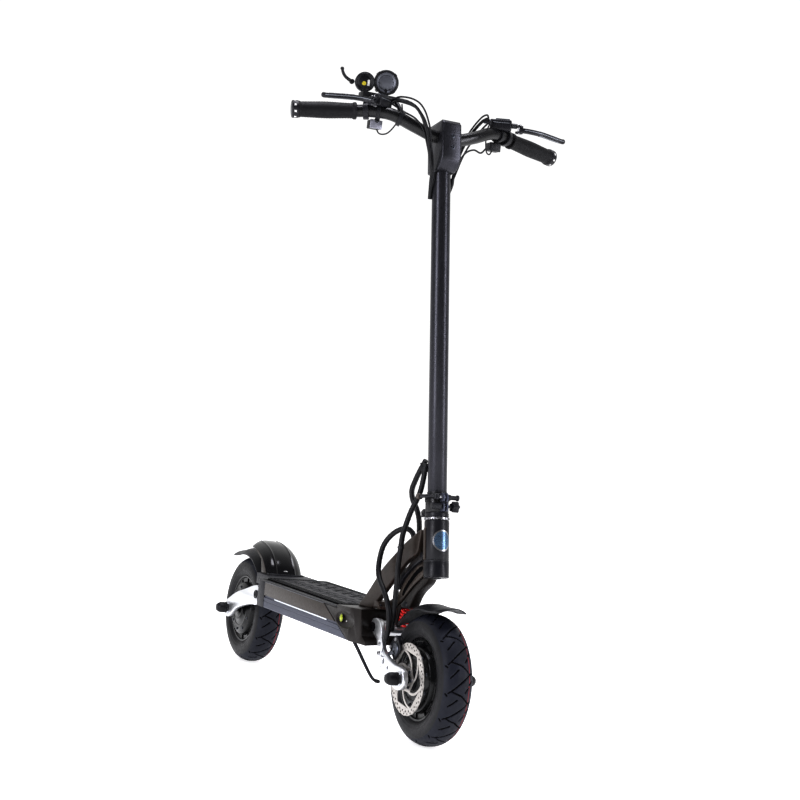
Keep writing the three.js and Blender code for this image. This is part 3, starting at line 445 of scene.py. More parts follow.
def tyre(word, x, body):
    """A tyre with its carcass curve, a moulded zig-zag tread with painted shade in its grooves, and rings on
    the sidewalls.
    """
    around, period_count = 644, 14
    circumference = 2 * math.pi * TYRE_R
    period = circumference / period_count
    outer = spline(
        [
            (80.2, -26), (86, -31), (97, -33.8), (108, -32.6), (117.5, -26.5), (123.6, -17), (126.6, -8),
            (127, 0),
        ],
        1.2,
    )
    outer = outer + [np.array((r, -y)) for r, y in outer[-2::-1]]
    inner = [
        (80.2, 20), (84, 24), (96, 29), (108, 26), (114, 16), (116, 0), (114, -16), (108, -26), (96, -29),
        (84, -24), (80.2, -20),
    ]
    # Grooves as (along, across) ends: a zig-zag over the whole tread, and short bars between its corners.
    grooves = [
        ((0, -20), (8, 2)), ((8, 2), (24, 21)), ((24, 21), (42, -2)), ((42, -2), (57, -20)),
        ((57, -20), (61, -25)),
        ((31, -22), (16, -6)), ((2, 10), (-9, 19)), ((24, 21), (21, 28)), ((44, 20), (36, 27)),
        ((10, -27), (6, -31)),
    ]
    segments = []
    for (s0, y0), (s1, y1) in grooves:
        for shift in (-1, 0, 1):
            segments.append((s0 + shift * period, y0, s1 + shift * period, y1))
    arcs, total = [], 0.0
    for i, q in enumerate(outer):
        if i:
            total += float(np.linalg.norm(q - outer[i - 1]))
        arcs.append(total)
    middle = total / 2
    steps = around // period_count
    sunk = {}
    for j in range(steps):
        for i in range(len(outer)):
            across, along = arcs[i] - middle, period * j / steps
            depth = 0.0
            for s0, y0, s1, y1 in segments if abs(across) < 33 else ():
                ds, dy = s1 - s0, y1 - y0
                t = min(1.0, max(0.0, ((along - s0) * ds + (across - y0) * dy) / (ds * ds + dy * dy)))
                gap = math.hypot(along - s0 - t * ds, across - y0 - t * dy)
                depth = max(depth, min(1.0, max(0.0, (1.75 - gap) / 0.8)))
            sunk[j, i] = depth
    rings = []
    for j in range(around):
        a = -2 * math.pi * j / around
        ring = []
        for i, (r, y) in enumerate(outer):
            across = arcs[i] - middle
            depth = sunk[j % steps, i]
            sidewall = 0.5 * (1 if 93 < r < 94.6 or 99.5 < r < 100.8 or 87 < r < 88.4 else 0)
            pull = 2.6 * depth * (1 - 0.35 * abs(across) / 34) - sidewall
            nr, ny = r - 96, y * 1.2
            norm = math.hypot(nr, ny)
            rr, yy = r - pull * nr / norm, y - pull * ny / norm
            ring.append((x + rr * math.cos(a), max(-34, min(34, yy)), TYRE_R + rr * math.sin(a)))
        ring += [(x + r * math.cos(a), y, TYRE_R + r * math.sin(a)) for r, y in inner]
        rings.append(ring)
    verts, faces = lofted(rings, closed=True)

    surface = sorted((float(y), float(r)) for r, y in outer if r > 108)

    def sunk_at(c, r):
        return r < float(np.interp(c.y, [q[0] for q in surface], [q[1] for q in surface])) - 1.1

    def line(c):
        return 18.4 < c.y < 19.9 and math.hypot(c.x - x, c.z - TYRE_R) > 119

    obj = add(
        f"{word}_tyre_moulded", verts, faces, TREAD, body, sharp=50, replaces=[f"{word}_tyre"],
        extra=(TREAD_LINE, line),
    )
    obj.data.materials.append(SIDEWALL)
    # Faces sunk into the tread grooves take the near-black finish: painted shade in the grooves.
    obj.data.materials.append(GROOVE_SHADE)
    for poly in obj.data.polygons:
        c = poly.center / MM
        r = math.hypot(c.x - x, c.z - TYRE_R)
        if r < 112.5:
            poly.material_index = 2
        elif sunk_at(c, r):
            poly.material_index = 3


def wheel(word, x, disc_side):
    body = f"{word}_wheel"
    tyre(word, x, body)
    at = (x, 0, TYRE_R)
    s = disc_side
    shell = [
        (9, 43), (14, 43), (16, 41.5), (24, 41.5), (25, 39), (27, 37.2), (40, 36.2), (41, 37), (44, 37),
        (45, 36), (60, 34), (62, 32.6),
        (63.2, 31), (64, 24), (65.5, 22), (73, 22), (74.6, 23), (76, 26.6), (79.6, 27), (80.4, 25), (80, 20),
    ]
    ring = shell + [(r, -h) for r, h in reversed(shell)]
    hub = lathe(
        f"{word}_motor_shell", [(r, h * s) for r, h in ring], HUB, body, at=at, sides=96,
        replaces=[f"{word}_hub"],
    )
    parts = [hub]
    for side in (1, -1):
        for i in range(9):
            a = 2 * math.pi * (i + 0.5) / 9
            c, n = math.cos(a), math.sin(a)
            parts.append(
                bolt(
                    f"{word}_screw_{i}_{side}", (x + 52 * c, side * 34.6, TYRE_R + 52 * n), (0, side, 0),
                    3.2, body, DARK_STEEL, 2.4,
                )
            )
        for i in range(12):
            turn = Matrix.Translation((x, 0, TYRE_R)) @ Matrix.Rotation(2 * math.pi * i / 12, 4, "Y")
            y0, y1 = sorted((side * 21.6, side * 24.5))
            parts.append(
                block(
                    f"{word}_fin_{i}_{side}", (65, y0, -0.8), (73.5, y1, 0.8), HUB, body, bevel=0,
                    matrix=turn,
                )
            )
    flange = lathe(
        f"{word}_disc_mount", [
            (9, 40), (22, 40), (22, 47), (20.5, 48.4), (9, 48.4),
        ], PAINT, body, at=at, axis=(0, s, 0), sides=48
    )
    parts.append(flange)
    joined(f"{word}_motor", *parts)
    brake_disc(word, x, s, body)
    caps(word, x)


def brake_disc(word, x, side, body):
    """A drilled disc: a braking band with rows of holes, and swept arms to the hub."""
    arms = 6
    holes = []
    for i in range(arms):
        base = 2 * math.pi * i / arms
        window = []
        inner, outer = 26, 57
        for t in np.linspace(0, 1, 9):
            r = inner + (outer - inner) * t
            a = base + 0.10 + 0.9 * t
            window.append((r * math.cos(a), r * math.sin(a)))
        for t in np.linspace(1, 0, 9):
            r = inner + (outer - inner) * t
            a = base + 0.92 + 0.98 * t
            window.append((r * math.cos(a), r * math.sin(a)))
        holes.append(window)
    for i in range(30):
        a = 2 * math.pi * i / 30
        for r, shift, size in ((61.2, 0, 2.3), (66, 0.105, 2.1)):
            holes.append(circle(r * math.cos(a + shift), r * math.sin(a + shift), size, 10))
    for i in range(6):
        a = 2 * math.pi * i / 6
        holes.append(circle(17 * math.cos(a), 17 * math.sin(a), 2, 10))
    holes.append(circle(0, 0, 11, 32))
    lo, hi = sorted((side * 48.8, side * 50.8))
    place = Matrix.Translation((x, 0, TYRE_R))
    disc = slab(
        f"{word}_disc_plate", circle(0, 0, 69.6, 180, 0.45, 24), lo, hi, DISC, body,
        holes=holes, bevel=0.25, matrix=place, replaces=[f"{word}_brake_disc"],
    )
    parts = [disc]
    for i in range(6):
        a = 2 * math.pi * i / 6
        at = (x + 17 * math.cos(a), side * 50.4, TYRE_R + 17 * math.sin(a))
        parts.append(bolt(f"{word}_disc_bolt_{i}", at, (0, side, 0), 3.4, body, DARK_STEEL, 2.2))
    joined(f"{word}_disc", *parts)


def caps(word, x):
    """The axle with its two capped nuts."""
    half = [
        (8, 0), (8, 70.6), (12.6, 70.6), (13, 71.2), (13, 75), (11.4, 75.8), (11.4, 77), (12.7, 78),
        (12.9, 84), (12.3, 89), (10.6, 93), (9.2, 94), (8, 96.6), (5, 97.4), (0, 97.5),
    ]
    profile = [(r, -h) for r, h in reversed(half[1:])] + half[1:]
    body = f"{word}_swingarm"
    axle = lathe(
        f"{word}_axle_and_caps", profile, PLASTIC, body, at=(x, 0, TYRE_R), sides=48,
        replaces=[f"{word}_axle"],
    )


def caliper(word, x, side, angle, body):
    """A cable caliper: a bevelled body over the disc's rim, two bolts, an arm and its cable stop."""
    base = Matrix.Translation((x, 0, TYRE_R)) @ Matrix.Rotation(-angle, 4, "Y")
    if side < 0:
        base = Matrix.Scale(-1, 4, (0, 1, 0)) @ base
    parts = []
    outer = slab(
        f"{word}_caliper_outer",
        [(57, -16), (62, -19), (88, -19), (94, -12), (94, 12), (88, 19), (62, 19), (57, 16)],
        52.4, 57, PAINT, body, bevel=1.0, matrix=base, replaces=[f"{word}_caliper"],
    )
    inner = slab(
        f"{word}_caliper_inner", [(57, -14), (88, -17), (94, -11), (94, 11), (88, 17), (57, 14)], 42.6,
        47.2, PAINT, body, bevel=1.0, matrix=base,
    )
    spine = block(f"{word}_caliper_spine", (74, 43, -16), (93, 56.5, 16), PAINT, body, bevel=1.4, matrix=base)
    parts += [outer, inner, spine]
    parts.append(
        lathe(
            f"{word}_piston_cap",
            [(0, 56), (12.5, 56), (12.5, 58.4), (10.5, 60), (4, 60), (3, 59), (0, 59)], DARK_STEEL, body,
            at=(70, 0, -2), axis=(0, 1, 0), matrix=base, sides=36,
        )
    )
    parts += [
        bolt(f"{word}_caliper_bolt_{z}", (85, 57, z), (0, 1, 0), 3.6, body, STEEL, 2.6, matrix=base)
        for z in (-13, 13)
    ]
    arm = slab(
        f"{word}_caliper_arm", [(66, 2), (72, 6), (80, 22), (78, 27), (73, 26), (62, 4)], 60.2, 62.2,
        DARK_STEEL, body, bevel=0.5, matrix=base,
    )
    parts += [
        arm,
        lathe(
            f"{word}_cable_stop", [(0, 0), (3.2, 0), (3.2, 9), (4.6, 9), (4.6, 15), (0, 15)], STEEL, body,
            at=(84, 50, 11), axis=(0, 0, 1), matrix=base, sides=20,
        ),
    ]
    obj = joined(f"{word}_caliper_assembly", *parts)


# ---------- swingarms, springs and fenders ----------


def smooth_outline(points):
    return [(q[0], q[1]) for q in spline(points, 4, closed=True)]


def pivot(word, at, half, head, r, height, mat, body):
    """A swingarm's pin, with a screw head over each end."""
    for s, w in SIDES:
        bolt(f"{word}_pivot_head_{w}", (at[0], s * head, at[2]), (0, s, 0), r, body, mat, height)
    profile = [(0, -half), (6, -half), (6, half), (0, half)]
    pin = lathe(f"{word}_pivot_pin", profile, STEEL, body, at=at, sides=28, replaces=[f"{word}_pivot_bolt"])


def lock_plates(word, end):
    """The plates that hold an axle in its two arms."""
    outline = [
        (end * x, z) for x, z in ((470, 142), (486, 142), (489, 118), (482, 111), (474, 111), (467, 118))
    ]
    hole = circle(end * HALF_BASE, TYRE_R, 8.4, 24)
    for s, w in SIDES:
        y0, y1 = sorted((s * 70.4, s * 72.8))
        slab(f"{word}_lock_plate_{w}", outline, y0, y1, POLISHED, f"{word}_swingarm", bevel=0.6, holes=[hole])


def front_swingarm():
    outline = smooth_outline(
        [
            (309, 219), (336, 220), (362, 211), (382, 191), (394, 171), (420, 158), (456, 150), (478, 149.2),
            (492, 143), (499, 127), (493, 112), (478, 105), (450, 108), (410, 122), (374, 138), (353, 157),
            (339, 176), (320, 188), (307, 195), (302, 207),
        ]
    )

    def flared(side):
        def move(v):
            x, y, z = v
            t = min(1.0, max(0.0, (x - 336) / 50))
            return (x, side * (y - 15 * (1 - t)), z)

        return move

    holes = [
        circle(316, 203, 6.2, 24), circle(478, 127, 8.3, 28), circle(404, 149, 5, 20),
        circle(424, 139, 4, 20),
    ]
    arms = [
        slab(
            f"front_arm_{w}", outline, 58, 70, POLISHED, "front_swingarm", holes=holes, bevel=2.2,
            warp=flared(s), replaces=["front_swingarm"],
        )
        for s, w in SIDES
    ]
    parts = list(arms)
    for s in (1, -1):
        y0, y1 = sorted((s * 12, s * 44))
        tube_profile = [(6.5, y0), (13.6, y0), (13.6, y1), (6.5, y1)]
        parts += [
            lathe(f"front_arm_boss_{s}", tube_profile, POLISHED, "front_swingarm", at=FRONT_PIVOT, sides=40),
            slab(
                f"front_arm_bridge_{s}", [(318, 216), (336, 206), (336, 195), (318, 190)], y0, y1, POLISHED,
                "front_swingarm", bevel=1.5,
            ),
        ]
    parts.append(
        slab(
            "front_arm_seat",
            [(332.5, 205.6), (332.5, 197), (344, 192), (356, 192), (364, 199), (364, 205.6)], -46, 46,
            POLISHED, "front_swingarm", bevel=1.5,
        )
    )
    joined("front_swingarm_forging", *parts)
    # The front pivot's screw heads take the near-black finish: painted shade standing in for a dark recess.
    pivot("front", FRONT_PIVOT, 55.6, 55.8, 9.6, 3.4, GROOVE_SHADE, "steerer")
    # A cable bracket with two bolts on the right arm.
    parts = [
        slab(
            "bracket_plate", [(380, 186), (396, 190), (402, 176), (396, 158), (384, 152), (376, 166)],
            -73.4, -70.4, POLISHED, "front_swingarm", bevel=0.7,
        ),
    ]
    parts += [
        bolt(f"bracket_bolt_{z}", (x, -73.2, z), (0, -1, 0), 4.6, "front_swingarm", STEEL, 3.4)
        for x, z in ((388, 180), (390, 162))
    ]
    joined("front_cable_bracket", *parts)
    lock_plates("front", 1)


def rear_swingarm():
    outline = smooth_outline(
        [
            (-277, 196), (-297, 204.6), (-317, 202.5), (-374, 187), (-431, 171), (-470, 154), (-492, 143),
            (-499.5, 127), (-492, 112),
            (-478, 105.8), (-462, 110), (-426, 132), (-380, 146), (-330, 156), (-292, 161), (-276, 176),
        ]
    )
    holes = [circle(-296, 184, 6.2, 24), circle(-478, 127, 8.3, 28)]
    parts = []
    for s, w in SIDES:
        y0, y1 = sorted((s * 58, s * 70))
        parts.append(
            slab(
                f"rear_arm_{w}", outline, y0, y1, POLISHED, "rear_swingarm", holes=holes, bevel=2.6,
                replaces=["rear_swingarm"],
            )
        )
    parts.append(
        slab(
            "rear_arm_bridge", [(-316, 179.2), (-341.5, 179.2), (-341.5, 168), (-330, 160), (-316, 163)],
            -59, 59, POLISHED, "rear_swingarm", bevel=1.5,
        )
    )
    joined("rear_swingarm_forging", *parts)
    pivot("rear", REAR_PIVOT, 70, 70.6, 10, 3.2, PAINT, "frame")
    lock_plates("rear", -1)


def spring(name, node, bottom, top, radius, wire, turns):
    """A coil spring from bottom to top, in place of a CAD spring node."""
    bottom, top = np.array(bottom, float), np.array(top, float)
    axis = top - bottom
    length = float(np.linalg.norm(axis))
    axis /= length
    u = np.cross(axis, (0, 1, 0))
    u /= np.linalg.norm(u)
    v = np.cross(axis, u)
    path = []
    count = turns * 28
    for i in range(count + 1):
        t = i / count
        h = wire + 0.3 + (length - 2 * wire - 0.6) * t
        a_ = 2 * math.pi * turns * t
        path.append(bottom + axis * h + radius * (math.cos(a_) * u + math.sin(a_) * v))
    obj = tube(name, path, wire, RED, None, sides=12, replaces=[node])
    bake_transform(obj)


def fender(name, node, x, start, end, crown, drop, half, flick, body):
    """A thin domed guard over a wheel, with a turned lip along its edges and flicked ends."""
    thick = 2.4
    word = node.split("_")[0]
    rings = []
    steps = 60
    across = np.linspace(-1, 1, 25)
    for i in range(steps + 1):
        t = i / steps
        a = math.radians(start + (end - start) * t)
        narrow = 1.0 - 0.18 * max(0.0, 1 - min(t, 1 - t) / 0.06) ** 2
        n = Vector((math.cos(a), 0, math.sin(a)))
        r = crown + flick(t)
        tip = t if word == "front" else 1 - t
        fall = drop * (1 - 0.15 * max(0.0, 1 - tip / 0.25))
        lip = [(half * narrow * u, -fall * abs(u) ** 2.2 + (0.7 if abs(u) > 0.93 else 0)) for u in across]
        under = [((half * narrow - 1.2) * u, -fall * abs(u) ** 2.2 - thick) for u in reversed(across)]
        rings.append([Vector((x, y, TYRE_R)) + n * (r + h) for y, h in lip + under])
    obj = add(name, *lofted(rings), PLASTIC, body, sharp=50, replaces=[node])


def fenders():
    def front(t):
        return 17 * max(0.0, 1 - t / 0.3) ** 2

    def rear(t):
        return 15 * max(0.0, 1 - (1 - t) / 0.25) ** 2

    fender("front_mudguard", "front_fender", HALF_BASE, 65, 140, 147, 11.5, 34, front, "front_swingarm")
    fender("rear_mudguard", "rear_fender", -HALF_BASE, 40, 126, 149, 16, 38, rear, "rear_swingarm")


# ---------- deck ----------


def relief(name, x0, x1, half, z0, z1, depth_at, mat, body, node):
    """A rubber sheet with moulded channels, painted near-black inside as shade: depth_at gives the depth of
    each point of its top.
    """
    step = 1.9
    nx, ny = int((x1 - x0) / step), int(2 * half / step)
    xs, ys = np.linspace(x0, x1, nx + 1), np.linspace(-half, half, ny + 1)
    corner = 9

    def place(x, y):
        ex, ey = min(x - x0, x1 - x), half - abs(y)
        if ex < corner and ey < corner and ex + ey < corner:
            short = (corner - ex - ey) / 2
            x += short if x - x0 < x1 - x else -short
            y -= math.copysign(short, y)
        return x, y

    verts, faces = [], []
    for x in xs:
        for y in ys:
            px, py = place(x, y)
            verts.append((px, py, z1 - depth_at(px, py)))
    for i in range(nx):
        for j in range(ny):
            a = i * (ny + 1) + j
            faces.append((a, a + ny + 1, a + ny + 2, a + 1))
    rim = [i * (ny + 1) for i in range(nx + 1)] + [nx * (ny + 1) + j for j in range(1, ny + 1)]
    rim += [i * (ny + 1) + ny for i in range(nx - 1, -1, -1)] + [j for j in range(ny - 1, 0, -1)]
    base = len(verts)
    verts += [(verts[k][0], verts[k][1], z0) for k in rim]
    n = len(rim)
    faces += [(rim[k], rim[(k + 1) % n], base + (k + 1) % n, base + k) for k in range(n)]
    faces.append(tuple(base + k for k in range(n))[::-1])

    # Faces down in the channels take the near-black finish: painted shade in the channels.
    def channel(c):
        return z0 + 0.5 < c.z < z1 - 0.6

    return add(name, verts, faces, mat, body, sharp=25, replaces=[node], extra=(GROOVE_SHADE, channel))


MAT_GROOVE = 1.4


def mat_depth(x, y):
    """Channels of the deck mat: lines that follow its long edges, and slanted bars between them."""
    ay = abs(y)
    edge = min(77 - ay, x + 228, 196 - x)
    if edge < 1.2:
        return MAT_GROOVE
    for line in (7, 13, 19):
        if abs(edge - line) < 1.3:
            return MAT_GROOVE
    if edge > 22:
        u = (x + 1000 + 0.9 * ay) % 46
        for at in (4, 11, 18):
            if abs(u - at) < 1.4 and 6 < ay < 50:
                return MAT_GROOVE
        if abs(u - 34) < 1.1 and 12 < ay < 44:
            return MAT_GROOVE
        if abs(ay - 30) < 1.0 and 24 < u < 42:
            return MAT_GROOVE
    return 0.0


def deck():
    lid = slab(
        "deck_lid_plate",
        [(-236, -80), (-229, -88), (194, -88), (201, -80), (201, 80), (194, 88), (-229, 88), (-236, 80)],
        224.3, 227.7, PAINT, "frame", bevel=0.8, plane="XY", replaces=["deck_lid"],
    )
    relief("deck_mat_moulded", -228, 196, 77, 228, 231.3, mat_depth, MAT, "frame", "footboard_mat")
    for s, w in SIDES:

        def side(y0, y1):
            return sorted((s * y0, s * y1))

        trim = slab(
            f"side_trim_plate_{w}", [(-203, 194.4), (199, 194.4), (135, 223.2), (-203, 223.2)],
            *side(86.3, 88.3), BRONZE, "frame", bevel=0.7, replaces=[f"side_trim_{w}"],
        )
        block(
            f"deck_edge_line_{w}", (-203, side(87.7, 88.6)[0], 223.3), (132, side(87.7, 88.6)[1], 224.2),
            INSET, "frame", bevel=0.2,
        )
        profile = [
            (86.1, 166.8), (87.4, 168.2), (87.6, 180), (87.0, 181), (87.0, 182), (87.6, 183), (87.6, 189.4),
            (86.3, 190), (86.1, 190),
        ]
        rail_slope = (264.5 - 135.5) / (224 - 166)
        rings = []
        for end in (0, 1):
            rings.append(
                [((-204.6 if end == 0 else 264 - (z - 166) * rail_slope), s * y, z) for y, z in profile]
            )
        add(f"deck_side_rail_{w}", *lofted(rings), SLATE, "frame", sharp=20)
        block(
            f"light_strip_{w}", (-142, side(86.1, 87.2)[0], 190.6), (153, side(86.1, 87.2)[1], 193.4),
            WHITE, "frame", bevel=0.3,
        )
    for x in np.linspace(-180, 170, 6):
        for s, w in SIDES:
            bolt(
                f"lid_screw_{int(x + 200)}_{w[0]}", (float(x), s * 82.5, 227.2), (0, 0, 1), 2.8, "frame",
                DARK_STEEL, 1.2,
            )
    node_look("deck_chassis", SLATE, 1.2)
    node_look("battery_pack", PACK, 2.0)
    node_look("motor_controller", DARK_STEEL, 2.0)


def node_look(node, mat, bevel):
    """A carried-over CAD solid with its own finish and slightly rounded edges."""
    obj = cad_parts[node]
    obj.data.materials.clear()
    obj.data.materials.append(mat)
    weld = obj.modifiers.new("weld", "WELD")
    weld.merge_threshold = 1e-5
    if bevel:
        made = obj.modifiers.new("edge", "BEVEL")
        made.width = bevel * MM
        made.segments = 2
        made.limit_method = "ANGLE"
        made.angle_limit = math.radians(32)


def casings():
    side = [(136.6, 224), (202, 224), (202, 230.7), (262, 233.6), (320, 236), (346, 166), (265.6, 166)]
    shell = slab("front_casing_shell", side, -88, 88, CASING, "frame", bevel=2.2, replaces=["front_casing"])
    room = lathe(
        "room", [(0, -262), (168, -262), (174, -222), (187.5, -208), (187.5, -110), (0, -110)], CASING,
        None, **ON_STEER, sides=160,
    )
    wedges = []
    for s in (1, -1):
        outline = [(266, s * 88.6), (300, s * 80), (360, s * 72), (360, s * 95), (266, s * 95)]
        wedges.append(slab(f"wedge_{s}", outline, 150, 250, CASING, None, plane="XY"))
        dish = bpy.data.meshes.new("dish")
        ball = bmesh.new()
        bmesh.ops.create_uvsphere(ball, u_segments=64, v_segments=32, radius=1)
        bmesh.ops.scale(ball, vec=(47 * MM, 11 * MM, 17 * MM), verts=ball.verts)
        bmesh.ops.translate(ball, vec=(247 * MM, s * 90.5 * MM, 205 * MM), verts=ball.verts)
        ball.to_mesh(dish)
        ball.free()
        cutter = bpy.data.objects.new(f"dish_{s}", dish)
        bpy.context.scene.collection.objects.link(cutter)
        wedges.append(cutter)
    carved(shell, room, *wedges)
    rounded(shell, 1.6, 2, 40)
    for s, w in SIDES:
        lathe(
            f"marker_lamp_{w}", [(0, -6), (8.6, -6), (8.6, 0), (8.0, 1.8), (5.5, 3.2), (2.5, 4), (0, 4.2)],
            AMBER, "frame", at=(219, s * 82.4, 205.6), axis=(-0.12, s, 0), sides=24,
        )
        lathe(
            f"marker_lamp_rim_{w}", [(8.7, -2), (10, -2), (10, 1), (8.7, 1)], PLASTIC, "frame",
            at=(219, s * 82.4, 205.6), axis=(-0.12, s, 0), sides=32,
        )
        lathe(
            f"marker_sensor_{w}", [(0, -3), (1.6, -3), (1.6, 0.4), (0, 0.9)], LABEL, "frame",
            at=(240, s * 80.6, 202), axis=(0, s, 0), sides=16,
        )

    core = [
        (-205.8, 166), (-205.8, 224), (-236.5, 224), (-236.5, 230.8), (-342, 230.8), (-342, 206.5),
        (-306, 206.5), (-311, 198), (-311, 172), (-290, 166),
    ]
    rear = slab("rear_casing_shell", core, -55, 55, REAR, "frame", bevel=0, replaces=["rear_casing"])
    wings = slab(
        "wings", [(-205.8, -88), (-205.8, 88), (-240, 88), (-268, 78), (-268, -78), (-240, -88)], 166,
        223.9, REAR, None, plane="XY",
    )
    carved(rear, wings, operation="UNION")
    rounded(rear, 1.8, 2, 30)
    for s, w in SIDES:
        y0, y1 = sorted((s * 85, s * 88.2))
        block(f"rear_gap_{w}", (-206.4, y0, 167), (-203.4, y1, 223.6), PLASTIC, "frame", bevel=0.2)
        normal = Vector((-10, s * 28, 0)).normalized()
        for z in (178, 210):
            bolt(
                f"rear_casing_screw_{z}_{w}", (-254, s * 82.6, z), tuple(normal), 4.2, "frame", DARK_STEEL,
                1.6,
            )
    kick_plate()


def kick_plate():
    """The raised rear foot plate: a crowned hood with two moulded ribs and side walls."""
    crest = spline([(-292, 231.4), (-309, 256), (-334, 278), (-365, 293), (-395, 300), (-427, 302)], 4)

    def crown(y):
        ridge = 1.6 * math.exp(-(((abs(y) - 23) / 1.5) ** 2))
        return 0.6 - 15 * (abs(y) / 45) ** 3.2 + ridge

    half = [0, 5, 10, 15, 19, 21, 22, 23, 24, 25, 27, 30, 33, 36, 39, 41, 43, 44.4, 45]
    top = [(-y, crown(y)) for y in half[::-1]] + [(y, crown(y)) for y in half[1:]]
    section = top + [
        (y * 0.94, crown(y) - 3.4) for y in half[::-1]
    ] + [(-y * 0.94, crown(y) - 3.4) for y in half[1:]]
    rings = []
    for i, q in enumerate(crest):
        before, after = crest[max(i - 1, 0)], crest[min(i + 1, len(crest) - 1)]
        t = (after - before) / np.linalg.norm(after - before)
        n = np.array((t[1], -t[0]))
        last = len(crest) - 1
        narrow = 1 - 0.12 * max(0.0, 1 - (last - i) / 5) ** 2
        rings.append([(q[0] + n[0] * (h - 2.2), y * narrow, q[1] + n[1] * (h - 2.2)) for y, h in section])
    hood = add("kick_plate_hood", *lofted(rings), GLOSS, "frame", sharp=40, replaces=["kick_plate"])
    rim = []
    for i in range(1, int(len(crest) * 0.8)):
        t = (crest[i + 1] - crest[i - 1]) / np.linalg.norm(crest[i + 1] - crest[i - 1])
        rim.append((float(crest[i][0] - 17 * t[1]), float(crest[i][1] + 17 * t[0])))
    rim = [q for q in rim if q[1] > 233]
    for s, w in SIDES:
        y0, y1 = sorted((s * 41.6, s * 44.6))
        wall = [*rim, (-352, 262), (-343, 231.6), (rim[0][0] + 3, 231.6)]
        slab(f"kick_plate_wall_{w}", wall, y0, y1, BRONZE, "frame", bevel=0.5)
    block("kick_plate_tag", (-300.6, -5, 240), (-299.4, 5, 242), LABEL, "frame", bevel=0.2)
    slab(
        "kick_plate_foot", [(-342, -44), (-293, -44), (-293, 44), (-342, 44)], 231.2, 234, PAINT, "frame",
        bevel=0.6, plane="XY",
    )


# ---------- neck and fork ----------


def neck():
    leg_outline = spline(
        [
            (424, 412), (401, 399), (376, 384), (338, 355), (297, 321), (273, 294), (243, 260),
            (217, 232.6), (240, 233.4),
            (270, 234.8), (282, 246), (298, 262), (318, 282), (354, 318), (385, 346), (417, 366), (422, 390),
        ],
        5,
        closed=True,
    )

    def spread(side):
        def move(v):
            return (v[0], side * (v[1] + 0.1 * (430 - v[0])), v[2])

        return move

    legs = [
        slab(
            f"neck_leg_{w}", leg_outline, 14, 26, BRONZE, "frame", bevel=2.4, warp=spread(s),
            replaces=["neck_casting"],
        )
        for s, w in SIDES
    ]
    web = slab(
        "neck_web", [(424, 405), (386, 387.4), (345, 355.4), (352, 347), (385, 358), (417, 366)], -20, 20,
        BRONZE, "frame", bevel=1.5,
    )
    arm_outline = spline(
        [
            (428, 356), (412, 350), (394, 341), (374, 328), (353, 312), (335, 290), (314, 268), (288, 255),
            (280, 247), (288, 241), (298, 240), (318, 248), (344, 264), (366, 283), (388, 299.5),
            (406, 311), (424, 322), (434, 330),
        ],
        4,
        closed=True,
    )
    arm = slab("neck_arm", arm_outline, -11, 11, BRONZE, "frame", bevel=2.2)
    slot_line = spline([(420, 338), (400, 328), (379, 312), (359, 294), (341, 272)], 4)
    left, right = [], []
    for i, q in enumerate(slot_line):
        before, after = slot_line[max(i - 1, 0)], slot_line[min(i + 1, len(slot_line) - 1)]
        t = (after - before) / np.linalg.norm(after - before)
        n = np.array((-t[1], t[0]))
        half = 5.4 * min(1.0, 0.35 + min(i, len(slot_line) - 1 - i) * 0.4)
        left.append(q + n * half)
        right.append(q - n * half)
    slot = [(q[0], q[1]) for q in left + right[::-1]]
    carved(arm, *[slab(f"slot_{s}", slot, *sorted((s * 6.5, s * 14)), BRONZE, None) for s in (1, -1)])
    rounded(arm, 0.7, 2, 40)
    # Near-black sheets at the bottom of the slots: painted shade.
    for s, w in SIDES:
        slab(f"neck_slot_shade_floor_{w}", slot, *sorted((s * 6.6, s * 9.8)), GROOVE_SHADE, "frame")
    grille = slab(
        "neck_grille",
        [
            (328, 304), (345, 321), (366, 334), (385, 350), (417, 369), (426, 362), (425, 353), (412, 347),
            (394, 338), (374, 325), (353, 309), (334, 289), (322, 281),
        ],
        -18, 18, PAINT, "frame", bevel=1.0,
    )
    ribs = []
    for s in (1, -1):
        for k in range(4):
            lift = 2.2 * k
            line = [
                (352 + k * 4, s * 18, 318 + lift * 0.6), (376, s * 18, 334 + lift),
                (398, s * 18, 347 + lift * 1.1), (418 - k, s * 18, 356 + lift * 1.1),
            ]
            ribs.append(tube(f"rib_{s}_{k}", spline(line, 4), 0.8, CASING, "frame", sides=8))
    joined("neck_ribbed_web", grille, *ribs)
    foot = slab(
        "neck_foot", [(262, -41), (302, -38), (302, 38), (262, 41)], 236.4, 243, BRONZE, "frame", bevel=1.2,
        plane="XY",
    )
    tie = slab(
        "neck_tie", [(262, 240), (276, 253.5), (294, 251.5), (300, 239), (262, 237)], -41, 41, BRONZE,
        "frame", bevel=2,
    )
    sleeve = lathe(
        "head_saddle", [
            (23.6, -65), (26.4, -64), (26.4, -6), (23.6, 2),
        ], BRONZE, "frame", **ON_STEER, sides=72
    )
    cutter = block("front_half", (2, -60, -80), (60, 60, 30), BRONZE, None, bevel=0, matrix=STEER)
    carved(sleeve, cutter)
    joined("neck_casting_body", *legs, web, arm, foot, tie, sleeve)

    tube_profile = [(19.5, -65.2), (24.1, -65.2), (24.5, -64.6), (24.5, 10.6), (23.9, 12.2), (19.5, 12.2)]
    lathe("head_tube", tube_profile, PAINT, "frame", **ON_STEER, sides=96)
    badge()
    for x in (270, 294):
        for s, w in SIDES:
            bolt(f"neck_bolt_{x}_{w[0]}", (x, s * 34, 243), (0, 0, 1), 4.2, "frame", DARK_STEEL, 3.2)


